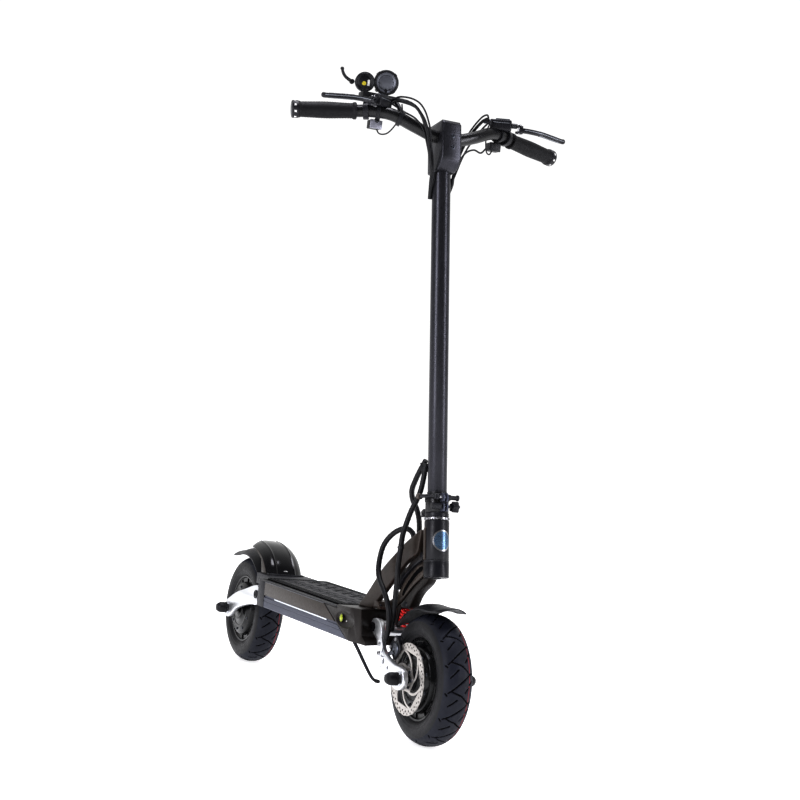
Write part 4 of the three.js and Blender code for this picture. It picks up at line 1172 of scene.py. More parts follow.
def badge():
    """A plain oval plaque that follows the head tube's front."""
    for name, size, r0, r1, mat in (
        ("head_plaque_rim", 1.0, 24.4, 25.1, STEEL), ("head_plaque", 0.86, 24.9, 25.5, BADGE),
    ):
        half_angle, half_height = math.radians(46) * size, 21 * size
        count, rows = 48, 7
        verts, faces = [], []
        for r in (r1, r0):
            verts.append((r, 0, -28))
            for k in range(1, rows + 1):
                for j in range(count):
                    a = 2 * math.pi * j / count
                    phi, h = half_angle * math.cos(a) * k / rows, half_height * math.sin(a) * k / rows
                    verts.append((r * math.cos(phi), r * math.sin(phi), -28 + h))
        sheet = 1 + count * rows
        for layer in (0, 1):
            base = layer * sheet
            for j in range(count):
                n = (j + 1) % count
                faces.append((base, base + 1 + j, base + 1 + n))
                for k in range(rows - 1):
                    a, b = base + 1 + k * count, base + 1 + (k + 1) * count
                    faces.append((a + j, b + j, b + n, a + n))
        edge = 1 + (rows - 1) * count
        for j in range(count):
            n = (j + 1) % count
            faces.append((edge + j, edge + n, sheet + edge + n, sheet + edge + j))
        add(name, moved(verts, STEER), faces, mat, "frame", sharp=30)


def fork():
    outline = spline(
        [
            (444, 320), (437, 309), (425, 300), (406, 287.5), (392.5, 274), (383, 260), (376, 251.4),
            (358, 250.8), (342, 250.4), (334, 238), (327, 220), (327, 203),
            (316, 190), (303, 203), (298, 218), (303, 232), (319.4, 244), (345.5, 260.9), (367.5, 279.8),
            (389.5, 296.6), (424, 319), (434, 323),
        ],
        4,
        closed=True,
    )
    arm = slab(
        "fork_arm", outline, -11, 11, CASING, "steerer", bevel=3.4, replaces=["fork", "lower_headset_cup"],
    )
    crown = lathe(
        "fork_crown", [(0, -101.5), (9, -101.5), (10, -100.5), (10, -97), (0, -97)], PAINT, "steerer",
        **ON_STEER, sides=96,
    )
    cup = lathe(
        "fork_cup",
        [
            (0, -99.4), (23.8, -99.4), (24.8, -98.6), (25, -97.6), (25, -70), (24.6, -69.4), (24.6, -68.4),
            (25, -67.8), (25, -66.2), (24.4, -65.6), (0, -65.6),
        ],
        PAINT, "steerer", **ON_STEER, sides=96,
    )
    seat = lathe(
        "spring_seat", [(0, 250), (16, 250), (17, 251), (17, 256), (13, 262), (0, 262)], PAINT, "steerer",
        at=(357.5, 0, 0), axis=(0, 0, 1), sides=48,
    )
    boss = lathe(
        "fork_boss", [(0, -11), (12.6, -11), (13.5, -10), (13.5, 10), (12.6, 11), (0, 11)], PAINT,
        "steerer", at=FRONT_PIVOT, sides=40,
    )
    steerer = lathe(
        "steerer_tube", [(0, -98), (14.4, -98), (14.4, 20.5), (0, 20.5)], STEEL, "steerer", **ON_STEER,
        sides=40,
    )
    joined("fork_forging", arm, crown, cup, seat, boss, steerer)
    for node in ("lower_bearing", "upper_bearing"):
        node_look(node, STEEL, 0)


# ---------- stem ----------


def stem():
    teeth = lathe(
        "lock_ring_turned", [(15, 13.2), (23, 13.2), (23.7, 13.8), (23.7, 18), (23, 18.6), (15, 18.6)],
        STEEL, "steerer", sides=72, replaces=["lock_ring"], **ON_STEER,
    )
    cogs = [
        block(
            f"tooth_{i}", (22.5, -1.9, 13.7), (25.4, 1.9, 18.1), STEEL, "steerer", bevel=0.4,
            matrix=STEER @ Matrix.Rotation(2 * math.pi * i / 14, 4, "Z"),
        )
        for i in range(14)
    ]
    joined("lock_ring_toothed", teeth, *cogs)
    base = lathe(
        "hinge_collar", [(15, 19), (22.4, 19), (23.5, 20), (23.5, 26.8), (22.8, 27.6), (15, 27.6)], PAINT,
        "steerer", sides=72, replaces=["stem_hinge_base"], **ON_STEER,
    )
    knuckle = lathe(
        "hinge_knuckle", [(0, -8), (6.5, -8), (6.5, 8), (0, 8)], PAINT, "steerer", at=(-33, 0, 28),
        matrix=STEER, sides=32,
    )
    neck_bar = block("hinge_neck", (-33, -8, 20), (-20, 8, 27.6), PAINT, "steerer", bevel=1, matrix=STEER)
    pin = lathe(
        "hinge_pin", [(0, -18), (3, -18), (3, 18), (0, 18)], STEEL, "steerer", at=(-33, 0, 28),
        matrix=STEER, sides=20,
    )
    plug = lathe(
        "hinge_plug", [(0, 19.4), (15.6, 19.4), (15.6, 27.4), (0, 27.4)], STEEL, "steerer", sides=40,
        **ON_STEER,
    )
    joined("stem_hinge", base, knuckle, neck_bar, pin, plug)

    tube_profile = [(16.6, 30), (18.7, 30), (19, 30.4), (19, 780), (16.6, 780)]
    lathe("stem_column", tube_profile, STEM, "stem", sides=96, replaces=["stem_tube"], **ON_STEER)
    lathe("stem_seam", [(19, 66), (19.9, 66), (19.9, 69), (19, 69)], PAINT, "stem", sides=72, **ON_STEER)

    collar = lathe(
        "collar_ring",
        [
            (19.2, 28.6), (22.6, 28.6), (23, 29.2), (23, 49.4), (24.3, 50), (24.3, 63.2), (23.6, 64),
            (19.2, 64),
        ],
        BAR_PAINT, "stem", sides=96, replaces=["clamp_collar"], **ON_STEER,
    )
    slit = block("slit", (18, -1.6, 20), (40, 1.6, 70), PAINT, None, bevel=0, matrix=STEER)
    carved(collar, slit)
    parts = [collar]
    for s in (1, -1):
        y0, y1 = sorted((s * 1.8, s * 5.4))
        for z0, z1 in ((28.6, 45.6), (47.4, 64)):
            mid = (z0 + z1) / 2
            flange = [(21, z0), (35, z0), (38, z0 + 4), (38, z1 - 4), (35, z1), (21, z1)]
            parts.append(
                slab(f"flange_{s}_{int(mid)}", flange, y0, y1, SLATE, "stem", bevel=0.5, matrix=STEER)
            )
        ear = [(-39, 28), (-36, 22.6), (-30, 22.6), (-18, 28.6), (-18, 38), (-30, 38), (-38, 34)]
        parts.append(slab(f"ear_{s}", ear, *sorted((s * 8.4, s * 16)), PAINT, "stem", bevel=1, matrix=STEER))
    rod_y = {"matrix": STEER, "sides": 24}
    parts += [
        lathe("upper_bolt", [(0, -12), (3, -12), (3, 14), (0, 14)], STEEL, "stem", at=(31, 0, 56), **rod_y),
        lathe(
            "upper_head",
            [(0, 6), (5, 6), (6, 7), (6, 12), (5, 13), (4.4, 13), (4.4, 26), (6, 27), (6, 30), (0, 30)],
            PAINT, "stem", at=(31, 0, 56), **rod_y,
        ),
    ]
    joined("clamp_collar_split", *parts)

    hub = lathe(
        "cam_hub", [(0, 51), (5, 51), (5.5, 51.6), (5.5, 60.4), (5, 61), (0, 61)], PAINT, "clamp_lever",
        at=(31, -18, 0), **ON_STEER, sides=28, replaces=["clamp_lever"],
    )
    path = spline([(31, -21, 57), (20, -29, 58), (6, -32.5, 59), (-8, -33.5, 60)], 3)
    verts, faces = tube_mesh(path, lambda t: 3.2 + 0.6 * t, 14)
    handle = add("cam_handle", moved(verts, STEER), faces, PAINT, "clamp_lever")
    end = lathe(
        "cam_knob", [(0, 0), (4.4, 0), (6, 1.6), (6, 9.4), (4.6, 11), (0, 11)], BRONZE, "clamp_lever",
        at=(-6, -33.4, 59.8), axis=(-11, 0, 0.7), matrix=STEER, sides=28,
    )
    joined("clamp_cam_lever", hub, handle, end)

    star = circle(0, 0, 9.4, 60, 1.7, 5)
    knob = slab(
        "knob_star", star, 15.6, 29.4, PLASTIC, "clamp_knob", bevel=1.2,
        matrix=STEER @ Matrix.Translation((31, 0, 38)), replaces=["clamp_knob"],
    )
    shaft = lathe(
        "knob_shaft", [(0, -29), (5.2, -29), (6, -28), (6, -9), (5.2, -8), (3, -8), (3, 16), (0, 16)],
        PAINT, "clamp_knob", at=(31, 0, 38), **rod_y,
    )
    face = lathe(
        "knob_boss", [(0, 28), (4.6, 28), (4.6, 30.4), (3.4, 31), (0, 31)], DARK_STEEL, "clamp_knob",
        at=(31, 0, 38), **rod_y,
    )
    joined("clamp_knob_star", knob, shaft, face)

    head = slab(
        "head_block_body",
        [
            (-22, 726), (-22, 826), (41, 826), (46, 820), (46, 750), (38, 735), (26, 727), (18, 724.5),
            (-16, 724.5),
        ],
        -22, 22, STEM, "stem", bevel=4.4, matrix=STEER, replaces=["bar_clamp_head"],
    )
    slab(
        "head_block_cap", [(-20, 0), (-20, 1), (40, 1), (42, 0)], -20, 20, GLOSS, "stem",
        matrix=STEER @ Matrix.Translation((0, 0, 825.4)),
    )
    block("head_block_seam", (-22.3, -22.3, 800), (46.3, 22.3, 801), PAINT, "stem", bevel=0.2, matrix=STEER)
    for s in (1, 2):
        bolt(f"head_bolt_{s}", (45.6, 1, 745 + 24 * s), (1, 0, 0), 4.6, "stem", DARK_STEEL, 1.4, matrix=STEER)
    for y in (-15, 15):
        bolt(f"head_cap_bolt_{y + 20}", (12, y, 825.8), (0, 0, 1), 3.4, "stem", DARK_STEEL, 1.8, matrix=STEER)


# ---------- handlebar ----------

BAR_HALF = [
    (300, 0, 1205), (300, 26, 1205), (294, 70, 1219), (277, 115, 1237), (259, 152, 1240), (245, 180, 1237),
    (227.5, 243.5, 1230), (213, 298, 1224),
]
BAR = spline([*mirror_y(BAR_HALF[1:])[::-1], *BAR_HALF], 4)


def bar_at(y):
    i = min(range(len(BAR)), key=lambda k: abs(BAR[k][1] - y))
    along = BAR[min(i + 1, len(BAR) - 1)] - BAR[max(i - 1, 0)]
    return BAR[i], along / np.linalg.norm(along)


def bar_ring(name, y, width, outer, mat, **more):
    at, along = bar_at(y)
    h = width / 2
    profile = [
        (BAR_R + 0.3, -h), (outer - 0.8, -h), (outer, -h + 0.8), (outer, h - 0.8), (outer - 0.8, h),
        (BAR_R + 0.3, h),
    ]
    return lathe(name, profile, mat, "stem", at=tuple(at), axis=tuple(along), sides=48, **more)


def handlebar():
    tube("handlebar_tube", BAR, BAR_R, BAR_PAINT, "stem", sides=40, replaces=["handlebar"])
    inner, outer = Vector((245, 180, 1237)), Vector((210, 307, 1223))
    length = (outer - inner).length
    for s, w in SIDES:
        at = (inner.x, s * inner.y, inner.z)
        axis = ((outer - inner).x, s * (outer - inner).y, (outer - inner).z)
        profile = [(BAR_R + 0.2, 0), (16.4, 0), (17.4, 1), (17.4, 5), (16.4, 7)]
        for i in range(40):
            t = i / 39
            h = 8 + t * 106
            swell = 15.3 + 1.5 * math.sin(math.pi * min(1, t * 1.25)) ** 1.4
            profile.append((swell - 0.6 * math.sin(2 * math.pi * t) + (0.35 if i % 2 else 0), h))
        profile += [(16.9, 116), (16.9, 118), (BAR_R + 0.2, 118)]
        rubber = lathe(
            f"grip_rubber_{w}", profile, GRIP, "stem", at=at, axis=axis, sides=64, replaces=[f"grip_{w}"],
            sharp=60,
        )
        ring = [
            (BAR_R + 0.2, 118.4), (17.0, 118.4), (17.8, 119.2), (17.8, length - 2.4), (17.2, length - 1.4),
            (15.2, length - 0.6), (13.6, length - 0.6), (BAR_R + 0.2, length - 3),
        ]
        lathe(f"grip_lock_{w}", ring, PAINT, "stem", at=at, axis=axis, sides=64)
        lathe(
            f"grip_end_{w}",
            [(0, length - 6), (13.4, length - 6), (13.4, length - 0.8), (12.2, length), (0, length)],
            DARK_STEEL, "stem", at=at, axis=axis, sides=48,
        )
        place = along_matrix(at, axis)
        for i in range(8):
            turn = place @ Matrix.Rotation(2 * math.pi * (i + 0.5) / 8, 4, "Z")
            block(
                f"grip_slot_{w}_{i}", (17.2, -2.2, length - 9.5), (18.1, 2.2, length - 5), LABEL, "stem",
                bevel=0.3, matrix=turn,
            )


LEVER_Y = 170
LEVER_LENGTH = 107
LEVER_DROOP = 7


def brakes():
    for s, w in SIDES:
        flip = Matrix.Scale(s, 4, (0, 1, 0))
        body = f"brake_lever_{w}"
        parts = [bar_ring(f"perch_ring_{w}", s * 162, 11, 18, PAINT, replaces=[f"brake_perch_{w}"])]
        turn = flip @ Matrix.Translation((282, 147, 1257)) @ Matrix.Rotation(math.radians(58), 4, "Z")
        parts += [
            block(
                f"perch_body_{w}", (-33, -9.4, -8.6), (12, 9.4, 13), PAINT, "stem", bevel=2.6, segments=3,
                matrix=turn,
            ),
            block(
                f"perch_cover_{w}", (-22, -7.4, 13), (8, 7.4, 15.4), DARK_STEEL, "stem", bevel=1.4,
                matrix=turn,
            ),
        ]
        parts += [
            bolt(f"perch_screw_{w}_{x + 20}", (x, 0, 15), (0, 0, 1), 2.2, "stem", STEEL, 1.0, matrix=turn)
            for x in (-18, 4)
        ]
        parts += [
            block(
                f"perch_rail_{w}_{int(y0 + 10)}", (-26, y0, 5.6), (8, y0 + 1.6, 7.2), INSET, "stem",
                bevel=0.3, matrix=turn,
            )
            for y0 in (-9.9, 8.3)
        ]
        parts.append(
            lathe(
                f"cable_adjuster_{w}",
                [(0, 0), (5.4, 0), (5.4, 6), (4.2, 7), (4.2, 13), (3, 14.4), (0, 14.4)], DARK_STEEL, "stem",
                at=(-33, 0, 7), axis=(-1, 0, 0), matrix=turn, sides=24,
            )
        )
        parts += [
            lathe(
                f"pivot_cheek_{w}_{k}", [(0, 0), (8, 0), (8, 3.4), (0, 3.4)], PAINT, "stem",
                at=(300, s * 170, 1252 + z), axis=(0, 0, 1), sides=32,
            )
            for k, z in ((4, 4.6), (13, -8))
        ]
        parts += [
            tube(
                f"perch_arm_{w}", [Vector((282, s * 150, 1260)), Vector((296, s * 166, 1259))], 5.4, PAINT,
                "stem", sides=16,
            ),
            tube(
                f"perch_strut_{w}", [Vector((262, s * 161, 1254)), Vector((282, s * 154, 1261))], 6, PAINT,
                "stem", sides=16,
            ),
            lathe(
                f"pivot_pin_{w}", [(0, -9), (2.6, -9), (2.6, 9), (4, 9), (4, 10.6), (0, 10.6)], STEEL,
                "stem", at=(300, s * 170, 1252), axis=(0, 0, 1), sides=20,
            ),
        ]
        joined(f"brake_perch_set_{w}", *parts)

        def centre(t):
            return 300 + 6 * t + 5 * math.sin(t * 5)

        def half(t):
            return 6.3 - 2.0 * t

        def droop(v):
            return (v[0], v[1], v[2] - LEVER_DROOP * ((v[1] - LEVER_Y) / LEVER_LENGTH) ** 2)

        shares = np.linspace(0, 1, 36)
        front = [(centre(t) + half(t), LEVER_Y + LEVER_LENGTH * t) for t in shares]
        back = [(centre(t) - half(t), LEVER_Y + LEVER_LENGTH * t) for t in shares[::-1]]
        blade = slab(
            f"lever_blade_{w}", front + back, 1246.6, 1256.2, PAINT, body, bevel=2.2, plane="XY",
            matrix=flip, warp=droop, replaces=[body], holes=[circle(300, 174.5, 2.7, 16)],
        )
        parts = [blade]
        shares = np.linspace(0.42, 0.9, 18)
        recess = [(centre(t) + half(t) - 2.1, LEVER_Y + LEVER_LENGTH * t) for t in shares] + [
            (centre(t) - half(t) + 2.1, LEVER_Y + LEVER_LENGTH * t) for t in shares[::-1]
        ]
        parts += [
            slab(
                f"lever_inset_{w}", recess, 1255.4, 1256.7, INSET, body, bevel=0.3, plane="XY", matrix=flip,
                warp=droop,
            ),
            slab(
                f"lever_inset_low_{w}", recess, 1246.1, 1247.4, INSET, body, bevel=0.3, plane="XY",
                matrix=flip, warp=droop,
            ),
        ]
        shares = np.linspace(0.08, 1, 30)
        edge = [
            (centre(t) + half(t) + 0.1, s * (LEVER_Y + LEVER_LENGTH * t), 1252 - LEVER_DROOP * t * t)
            for t in shares
        ]
        parts += [
            tube(f"lever_edge_{w}", edge, 1.1, INSET, body, sides=8),
            lathe(
                f"lever_tip_{w}",
                [(0, -5.4), (2.6, -4.9), (4.6, -3), (5.4, 0), (4.6, 3), (2.6, 4.9), (0, 5.4)], PAINT, body,
                at=(centre(1), s * (LEVER_Y + LEVER_LENGTH), 1252 - LEVER_DROOP), axis=(0, 0, 1), sides=28,
            ),
        ]
        joined(f"lever_{w}", *parts)


FACING = Vector((0.95, -0.28, -0.1)).normalized()
DISPLAY = Vector((240, -166, 1299))
LAMP = Vector((245, -121, 1305))


def cockpit():
    parts = [
        bar_ring("cockpit_ring", -98, 9, 16.5, PLASTIC, replaces=["display_unit"]),
        tube(
            "cockpit_leg", spline([(285, -98, 1240), (272, -100, 1258), (254, -104, 1273)], 4), 4.6,
            PLASTIC, "stem", sides=16,
        ),
        block("cockpit_shelf", (238, -176, 1263), (263, -101, 1277), PLASTIC, "stem", bevel=1.2),
        block("cockpit_lip", (256, -168, 1252), (265, -118, 1268), PLASTIC, "stem", bevel=1.2),
        tube("display_foot", [Vector((244, -166, 1275)), DISPLAY - FACING * 2], 6, PLASTIC, "stem", sides=20),
    ]
    shell = [
        (0, -11), (13, -11), (15.6, -10), (18.6, -7.4), (19.5, -5), (19.5, 5), (20.1, 5.4), (20.1, 7.6),
        (19.4, 8.6), (17.6, 10), (16.4, 9.6), (15.6, 8.4), (13.2, 7.2), (12.6, 7.6), (0, 7.6),
    ]
    parts.append(lathe("display_shell", shell, PLASTIC, "stem", at=DISPLAY, axis=FACING, sides=72))
    joined("display_housing", *parts)
    side = FACING.cross(Vector((0, 0, 1))).normalized()
    up = side.cross(FACING).normalized()
    lathe(
        "display_mark", [(0, -0.4), (4.2, -0.4), (4.2, 0.5), (0, 0.5)], YELLOW, "stem",
        at=DISPLAY + FACING * 7.4 + side * 1.6 - up * 3, axis=FACING, sides=32,
    )
    base = Matrix((side, FACING, up)).transposed().to_4x4()
    tag = Matrix.Translation(DISPLAY + FACING * 7.9 - side * 7.6 - up * 1) @ base
    block("display_tag", (-2.2, -0.5, -6), (2.2, 0.5, 6), LABEL, "stem", bevel=0.2, matrix=tag)
    lathe(
        "display_bezel", [(19.2, 7.4), (20.2, 7.4), (20.2, 9.2), (19.2, 9.2)], DARK_STEEL, "stem",
        at=DISPLAY, axis=FACING, sides=72,
    )
    for i in range(3):
        a = math.radians(30 + 120 * i)
        spot = DISPLAY + FACING * 7.6 + (side * math.cos(a) + up * math.sin(a)) * 14.4
        bolt(f"display_screw_{i}", tuple(spot), tuple(FACING), 1.6, "stem", DARK_STEEL, 0.9)

    lamp = [
        (0, -13), (14, -13), (18, -12), (22, -8.6), (24.2, -5), (24.6, 4), (25.4, 5), (25.4, 9),
        (24.4, 10.6), (22.6, 11), (21, 10.2), (19.6, 8),
        (17.6, 4.4), (16.6, 3.2), (15.6, 3.6), (15.2, 5.2), (14.4, 5.7), (0, 5.7),
    ]
    parts = [
        lathe("lamp_shell", lamp, PLASTIC, "stem", at=LAMP, axis=FACING, sides=80, replaces=["headlamp"]),
        tube("lamp_foot", [Vector((249, -121, 1277.4)), LAMP - FACING * 4], 6, PLASTIC, "stem", sides=20),
    ]
    for i in range(4):
        a = math.radians(45 + 90 * i)
        way = side * math.cos(a) + up * math.sin(a)
        turn = Matrix((way, FACING, way.cross(FACING))).transposed().to_4x4()
        clip = Matrix.Translation(LAMP + way * 22.2 + FACING * 1.5) @ turn
        parts.append(
            block(f"lamp_clip_{i}", (-2, -8, -3.4), (4.2, 9.4, 3.4), PLASTIC, "stem", bevel=1.0, matrix=clip)
        )
    joined("lamp_housing", *parts)
    lathe(
        "lamp_lens", [(0, 5.2), (15, 5.2), (15, 6.6), (14.2, 7.2), (0, 7.2)], LENS, "stem", at=LAMP,
        axis=FACING, sides=64,
    )
    lathe(
        "lamp_bevel", [(15.6, 5.4), (17, 5.4), (20.6, 9.2), (20, 9.8), (16, 6.6), (15.6, 6.4)], LENS,
        "stem", at=LAMP, axis=FACING, sides=80,
    )
    lathe(
        "lamp_ring", [(24.4, 7.2), (25.7, 7.2), (25.7, 8.6), (24.4, 8.6)], DARK_STEEL, "stem", at=LAMP,
        axis=FACING, sides=80,
    )

    hinge = Vector((232, -190.5, 1297))
    hub = lathe(
        "trigger_hub", [(0, -5), (4.4, -5), (5, -4.4), (5, 4.4), (4.4, 5), (0, 5)], PLASTIC,
        "throttle_trigger", at=hinge, axis=FACING, sides=28, replaces=["throttle_trigger"],
    )
    finger = tube(
        "trigger_finger",
        spline([tuple(hinge), (236, -199, 1299), (236, -208, 1304), (237, -214, 1311), (238, -217, 1318)], 2),
        lambda t: 3.6 - 0.7 * t, PLASTIC, "throttle_trigger", sides=16,
    )
    tip = lathe(
        "trigger_tip", [(0, -3.9), (2.2, -3.3), (3.7, -1.2), (3.7, 1.2), (2.2, 3.3), (0, 3.9)], PLASTIC,
        "throttle_trigger", at=(238, -217, 1318), sides=20,
    )
    joined("trigger", hub, finger, tip)


def switches():
    for s, w in SIDES:
        at = bar_at(s * 138)[0]
        x, y = float(at[0]) - 16, float(at[1])
        shell = SILVER if s < 0 else PLASTIC
        parts = [
            bar_ring(f"switch_ring_{w}", s * 138, 8, 16.5, PLASTIC, replaces=[f"switch_box_{w}"]),
            tube(f"switch_neck_{w}", [(x + 4, y, 1218), (x + 13, y, 1225)], 5, PLASTIC, "stem", sides=16),
            block(
                f"switch_case_{w}", (x - 9, y - 12.6, 1206.4), (x + 8, y + 12.6, 1223.6), PLASTIC, "stem",
                bevel=1.6, segments=3,
            ),
            block(
                f"switch_face_{w}", (x + 7, y - 13, 1206), (x + 11.6, y + 13, 1224), shell, "stem",
                bevel=1.2, segments=3,
            ),
        ]
        parts += [
            block(
                f"switch_rib_{w}_{k + 6}", (x - 6, y + k - 0.8, 1223.2), (x + 7, y + k + 0.8, 1224.2),
                PLASTIC, "stem", bevel=0.3,
            )
            for k in (-6, 0, 6)
        ]
        joined(f"switch_set_{w}", *parts)
        cap = lathe(
            f"switch_cap_{w}", [(0, 4), (4.6, 4), (4.6, 0.9), (3.8, 0), (0, 0)], RED if s < 0 else PLASTIC,
            f"switch_button_{w}", at=(x - 13, y, 1215), axis=(1, 0, 0), sides=28,
            replaces=[f"switch_button_{w}"],
        )
        lathe(
            f"switch_bezel_{w}", [(4.9, 0), (6.4, 0), (6.4, 1.4), (4.9, 1.4)], DARK_STEEL, "stem",
            at=(x - 10.3, y, 1215), axis=(1, 0, 0), sides=28,
        )
        loop = spline(
            [
                (x + 4, y - s * 4, 1206.6), (x + 7, y - s * 10, 1198), (x + 16, y - s * 22, 1199),
                (x + 30, y - s * 34, 1218), (x + 42, y - s * 40, 1240), (x + 46, y - s * 36, 1258),
            ],
            3,
        )
        tube(f"switch_wire_{w}", loop, 1.5, SLEEVE, "stem", sides=10)


# ---------- cables ----------

BAR_RIGHT = [
    (262, -114, 1264), (280, -112, 1268), (296, -106, 1266), (306, -92, 1262), (314, -80, 1254),
    (319, -69, 1240), (320, -59, 1222), (319, -50, 1203), (317, -44, 1182), (314, -34, 1153),
    (311, -28, 1130), (309, -25.5, 1118),
]
BAR_LEFT = [
    (262, 116, 1264), (269, 111, 1267), (273, 106, 1267), (270, 100, 1263), (265, 90, 1250),
    (261, 76, 1227), (264, 62, 1202), (276, 48, 1177), (289, 36, 1151), (297, 29, 1132), (300, 25.5, 1118),
]
STEM_ROUTE = [
    (388, -13, 548), (376, -17, 527), (366, -20, 507), (358, -22, 484), (364, -20, 465), (371, -15, 452),
    (375, -10, 436), (374, -5, 415), (371, -2, 396), (370, 0, 384),
]
BRAKE_ROUTE = [
    (400, -18, 542), (397, -19, 508), (396, -22, 486), (394, -28, 466), (390, -35, 445), (388, -42, 418),
    (388, -47, 397), (391, -50, 370), (392, -52, 338),
    (394, -52, 313), (392, -51, 288), (390, -50, 256), (388, -50, 229), (387, -50, 206),
]
MOTOR_ROUTE = [
    (353, -2, 372), (354, -4, 388), (352, -8, 400), (346, -18, 407), (335, -30, 402), (320, -41, 387),
    (311, -49, 367), (312, -55, 341), (322, -60, 316),
    (338, -62, 299), (359, -62, 283), (380, -61, 260), (391, -60, 237), (397, -62, 212), (395, -64, 189),
]


def braided(name, path, radius, replaces):
    """A sleeve over a bundle of wires, with the slight lumps of the wires inside."""
    lumps = len(path) * 1.9
    obj = tube(name, path, lambda t: radius + 0.16 * math.sin(t * lumps), SLEEVE, None, replaces=replaces)
    return obj


def loom(name, route, node, split):
    """A sleeve in two pieces split at a height, the lower piece in place of a CAD sleeve node."""
    path = spline(route, 3)
    cut = min(range(len(path)), key=lambda i: abs(path[i][2] - split))
    upper = braided(f"{name}_upper", path[: cut + 1], LOOM_R, [])
    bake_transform(upper)
    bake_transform(braided(name, path[cut:], LOOM_R, [node]))


def shifted(route, dx, dy, dz):
    """A neighbouring wire that leaves and meets the first at its ends and bows away between them."""
    n = len(route) - 1
    bow = [math.sin(math.pi * (i / n) ** 0.7) for i in range(n + 1)]
    return [(x + dx * k, y + dy * k, z + dz * k) for (x, y, z), k in zip(route, bow)]


def cables():
    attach(braided("bar_bundle_right", spline(BAR_RIGHT, 3), 3.2, ["bar_cables_right"]), "stem")
    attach(braided("bar_bundle_left", spline(BAR_LEFT, 3), 3.2, ["bar_cables_left"]), "stem")
    extra = {
        "bar_wire_right_a": shifted(BAR_RIGHT, 4, 6, 8),
        "bar_wire_right_b": shifted(BAR_RIGHT, -6, 10, -4),
        "bar_wire_right_c": [
            (250, -126, 1276), (262, -110, 1262), (285, -92, 1246), (306, -74, 1232), (314, -60, 1214),
            (314, -46, 1182), (310, -35, 1153), (307, -28, 1130),
        ],
        "bar_wire_left_a": shifted(BAR_LEFT, 4, -3, 9),
        "bar_wire_left_b": shifted(BAR_LEFT, 10, 6, -6),
        "bar_wire_left_c": [
            (258, 118, 1208), (264, 104, 1196), (272, 84, 1198), (280, 64, 1190), (286, 50, 1176),
            (293, 38, 1150), (299, 30, 1130),
        ],
    }
    for name, route in extra.items():
        tube(name, spline(route, 3), 1.9, SLEEVE, "stem", sides=10)
    for w, s, (x, y, z) in (("right", -1, (309, -25.5, 1118)), ("left", 1, (300, 25.5, 1118))):
        low = [(x, y, z + 8), (x - 1, y, z - 4), (x - 6, y - s * 3, z - 22), (x - 12, y - s * 6.5, z - 40)]
        tube(f"bar_sheath_{w}", spline(low, 3), 4.6, SLEEVE, "stem", sides=16)

    loom(
        "stem_loom", STEM_ROUTE, "stem_sleeve", 484,
    )
    loom(
        "brake_loom", BRAKE_ROUTE, "brake_sleeve", 466,
    )
    motor = braided("motor_loom", spline(MOTOR_ROUTE, 3), LOOM_R, ["motor_sleeve"])
    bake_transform(motor)
    ring = [(4.4, -2), (6.6, -2), (6.6, 2), (4.4, 2)]
    upper = Vector((398.5, -18.5, 528))
    lathe("cable_tie_upper", ring, PLASTIC, "stem", at=upper, axis=(0.05, 0, 1), sides=24)
    tail = [upper + Vector((-4, -3, 0)), upper + Vector((-10, -6, 14))]
    tube("cable_tie_upper_tail", tail, 1.2, PLASTIC, "stem", sides=8)
    lathe("cable_tie_lower", ring, PLASTIC, "steerer", at=(391, -50, 372), axis=(0, 0, 1), sides=24)


def kickstand():
    route = [KICKSTAND_TOP, (-84.5, 104, 99), (-49, 130, 40), (-41, 135, 34), (-29, 138, 33)]
    leg = tube(
        "kickstand_leg", spline(route, 4), lambda t: 4.4 - 0.9 * t, PAINT, "kickstand", sides=20,
        replaces=["kickstand"],
    )
    eye = lathe(
        "kickstand_eye", [(0, -5), (5, -5), (5.6, -4.4), (5.6, 4.4), (5, 5), (0, 5)], PAINT, "kickstand",
        at=KICKSTAND_TOP, axis=(-0.02, 0.92, 0.39), sides=32,
    )
    foot = lathe(
        "kickstand_foot", [(0, -3), (3.8, -3), (4.4, -2), (4.4, 8), (3, 10), (0, 10)], GRIP, "kickstand",
        at=(-36, 136.4, 33.6), axis=(1, 0.3, 0), sides=20,
    )
    joined("kickstand_assembly", leg, eye, foot)


wheel("front", HALF_BASE, -1)
wheel("rear", -HALF_BASE, 1)
caliper("front", HALF_BASE, -1, math.radians(136), "front_swingarm")
caliper("rear", -HALF_BASE, 1, math.radians(60), "rear_swingarm")
front_swingarm()
rear_swingarm()
spring(
    "front_coil", "front_spring", (347, 0, 210), (358, 0, 249.6), 13.5, 2.3, 5,
)
spring("rear_coil", "rear_spring", (-328, 0, 180), (-326, 0, 205.6), 12, 2.2, 4)
fenders()
deck()
casings()
neck()
fork()
stem()
handlebar()
brakes()
cockpit()
switches()
cables()
kickstand()


# ---------- stage ----------


ROOM_DIM = 0.14
ROOM_BRIGHT = 1.08
CAMERA_AT = (3.3266, -1.5164, 0.6107)
CAMERA_ANGLES = (154.01, 0.89, 5.94)


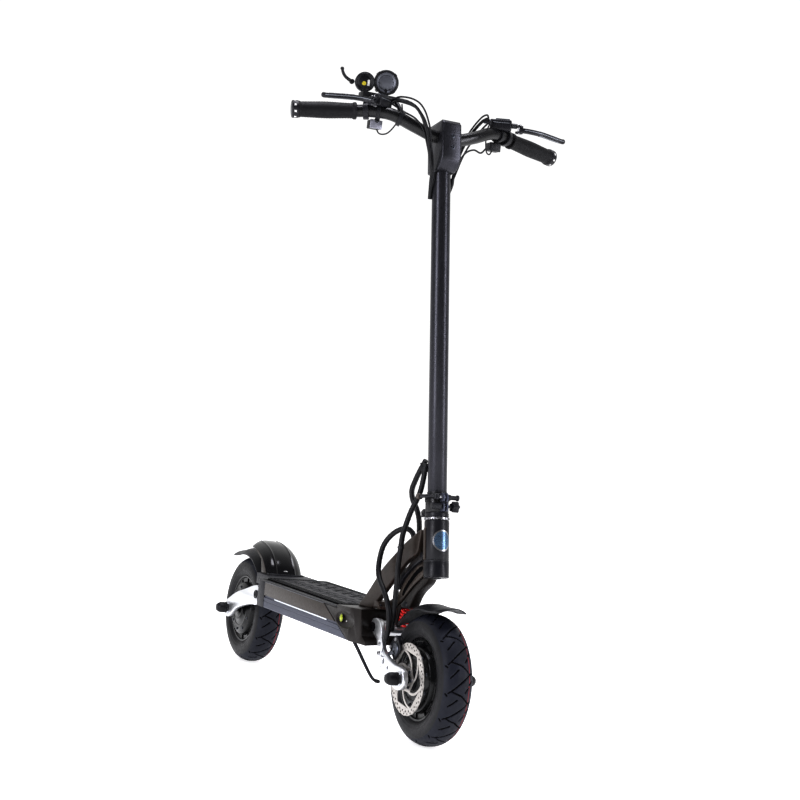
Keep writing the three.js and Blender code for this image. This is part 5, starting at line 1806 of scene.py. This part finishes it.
def studio_world():
    """A room that is white behind the scooter and dimmer on the side it is looked at from."""
    world = bpy.data.worlds.new("studio")
    bpy.context.scene.world = world
    world.use_nodes = True
    node, link = world.node_tree.nodes, world.node_tree.links
    node["Background"].inputs["Color"].default_value = (1, 1, 1, 1)
    place = node.new("ShaderNodeTexCoord").outputs["Generated"]
    toward = node.new("ShaderNodeVectorMath")
    toward.operation = "DOT_PRODUCT"
    toward.inputs[1].default_value = (-0.91, 0.41, 0)
    link.new(place, toward.inputs[0])
    ramp = node.new("ShaderNodeMapRange")
    ramp.interpolation_type = "SMOOTHSTEP"
    ramp.inputs["From Min"].default_value = -0.35
    ramp.inputs["From Max"].default_value = 0.75
    ramp.inputs["To Min"].default_value = ROOM_DIM
    ramp.inputs["To Max"].default_value = ROOM_BRIGHT
    link.new(toward.outputs["Value"], ramp.inputs["Value"])
    link.new(ramp.outputs["Result"], node["Background"].inputs["Strength"])


def stage():
    bpy.ops.mesh.primitive_plane_add(size=60, location=(0, 0, 0))
    floor = bpy.context.object
    floor.name = "floor"
    white = finish("floor_white", (0.92, 0.92, 0.92), 0.9, grain=0.02, vary=0.005)
    glow = white.node_tree.nodes["Principled BSDF"].inputs
    glow["Emission Color"].default_value = (1, 1, 1, 1)
    glow["Emission Strength"].default_value = 0.68
    floor.data.materials.append(white)
    studio_world()
    bpy.context.scene.view_settings.view_transform = "Standard"
    bpy.context.scene.view_settings.gamma = 0.8

    def soft(name, at, to, size, power):
        light = bpy.data.lights.new(name, "AREA")
        light.shape = "RECTANGLE"
        light.size, light.size_y = size
        light.energy = power
        light.color = (0.93, 0.93, 1.0)
        obj = bpy.data.objects.new(name, light)
        bpy.context.scene.collection.objects.link(obj)
        obj.location = at
        obj.rotation_euler = (Vector(to) - Vector(at)).to_track_quat("-Z", "Y").to_euler()

    soft("left_softbox", (1.3, -2.9, 1.1), (0, 0, 0.5), (0.7, 2.6), 75)
    soft("right_softbox", (2.5, 2.0, 1.2), (0.2, 0, 0.5), (0.6, 2.6), 60)
    soft("top_softbox", (0.2, -0.2, 3.6), (0, 0, 0), (1.6, 1.6), 80)

    camera = bpy.data.cameras.new("camera")
    camera.sensor_width = 36
    camera.lens = 74.65
    obj = bpy.data.objects.new("camera", camera)
    bpy.context.scene.collection.objects.link(obj)
    yaw, pitch, roll = (math.radians(a) for a in CAMERA_ANGLES)
    ahead = Vector((math.cos(pitch) * math.cos(yaw), math.cos(pitch) * math.sin(yaw), math.sin(pitch)))
    right = ahead.cross(Vector((0, 0, 1))).normalized()
    up = right.cross(ahead)
    tilted = math.cos(roll) * right + math.sin(roll) * up
    upright = -math.sin(roll) * right + math.cos(roll) * up
    turn = Matrix((tilted, upright, -ahead)).transposed()
    obj.matrix_world = Matrix.Translation(CAMERA_AT) @ turn.to_4x4()
    bpy.context.scene.camera = obj


stage()
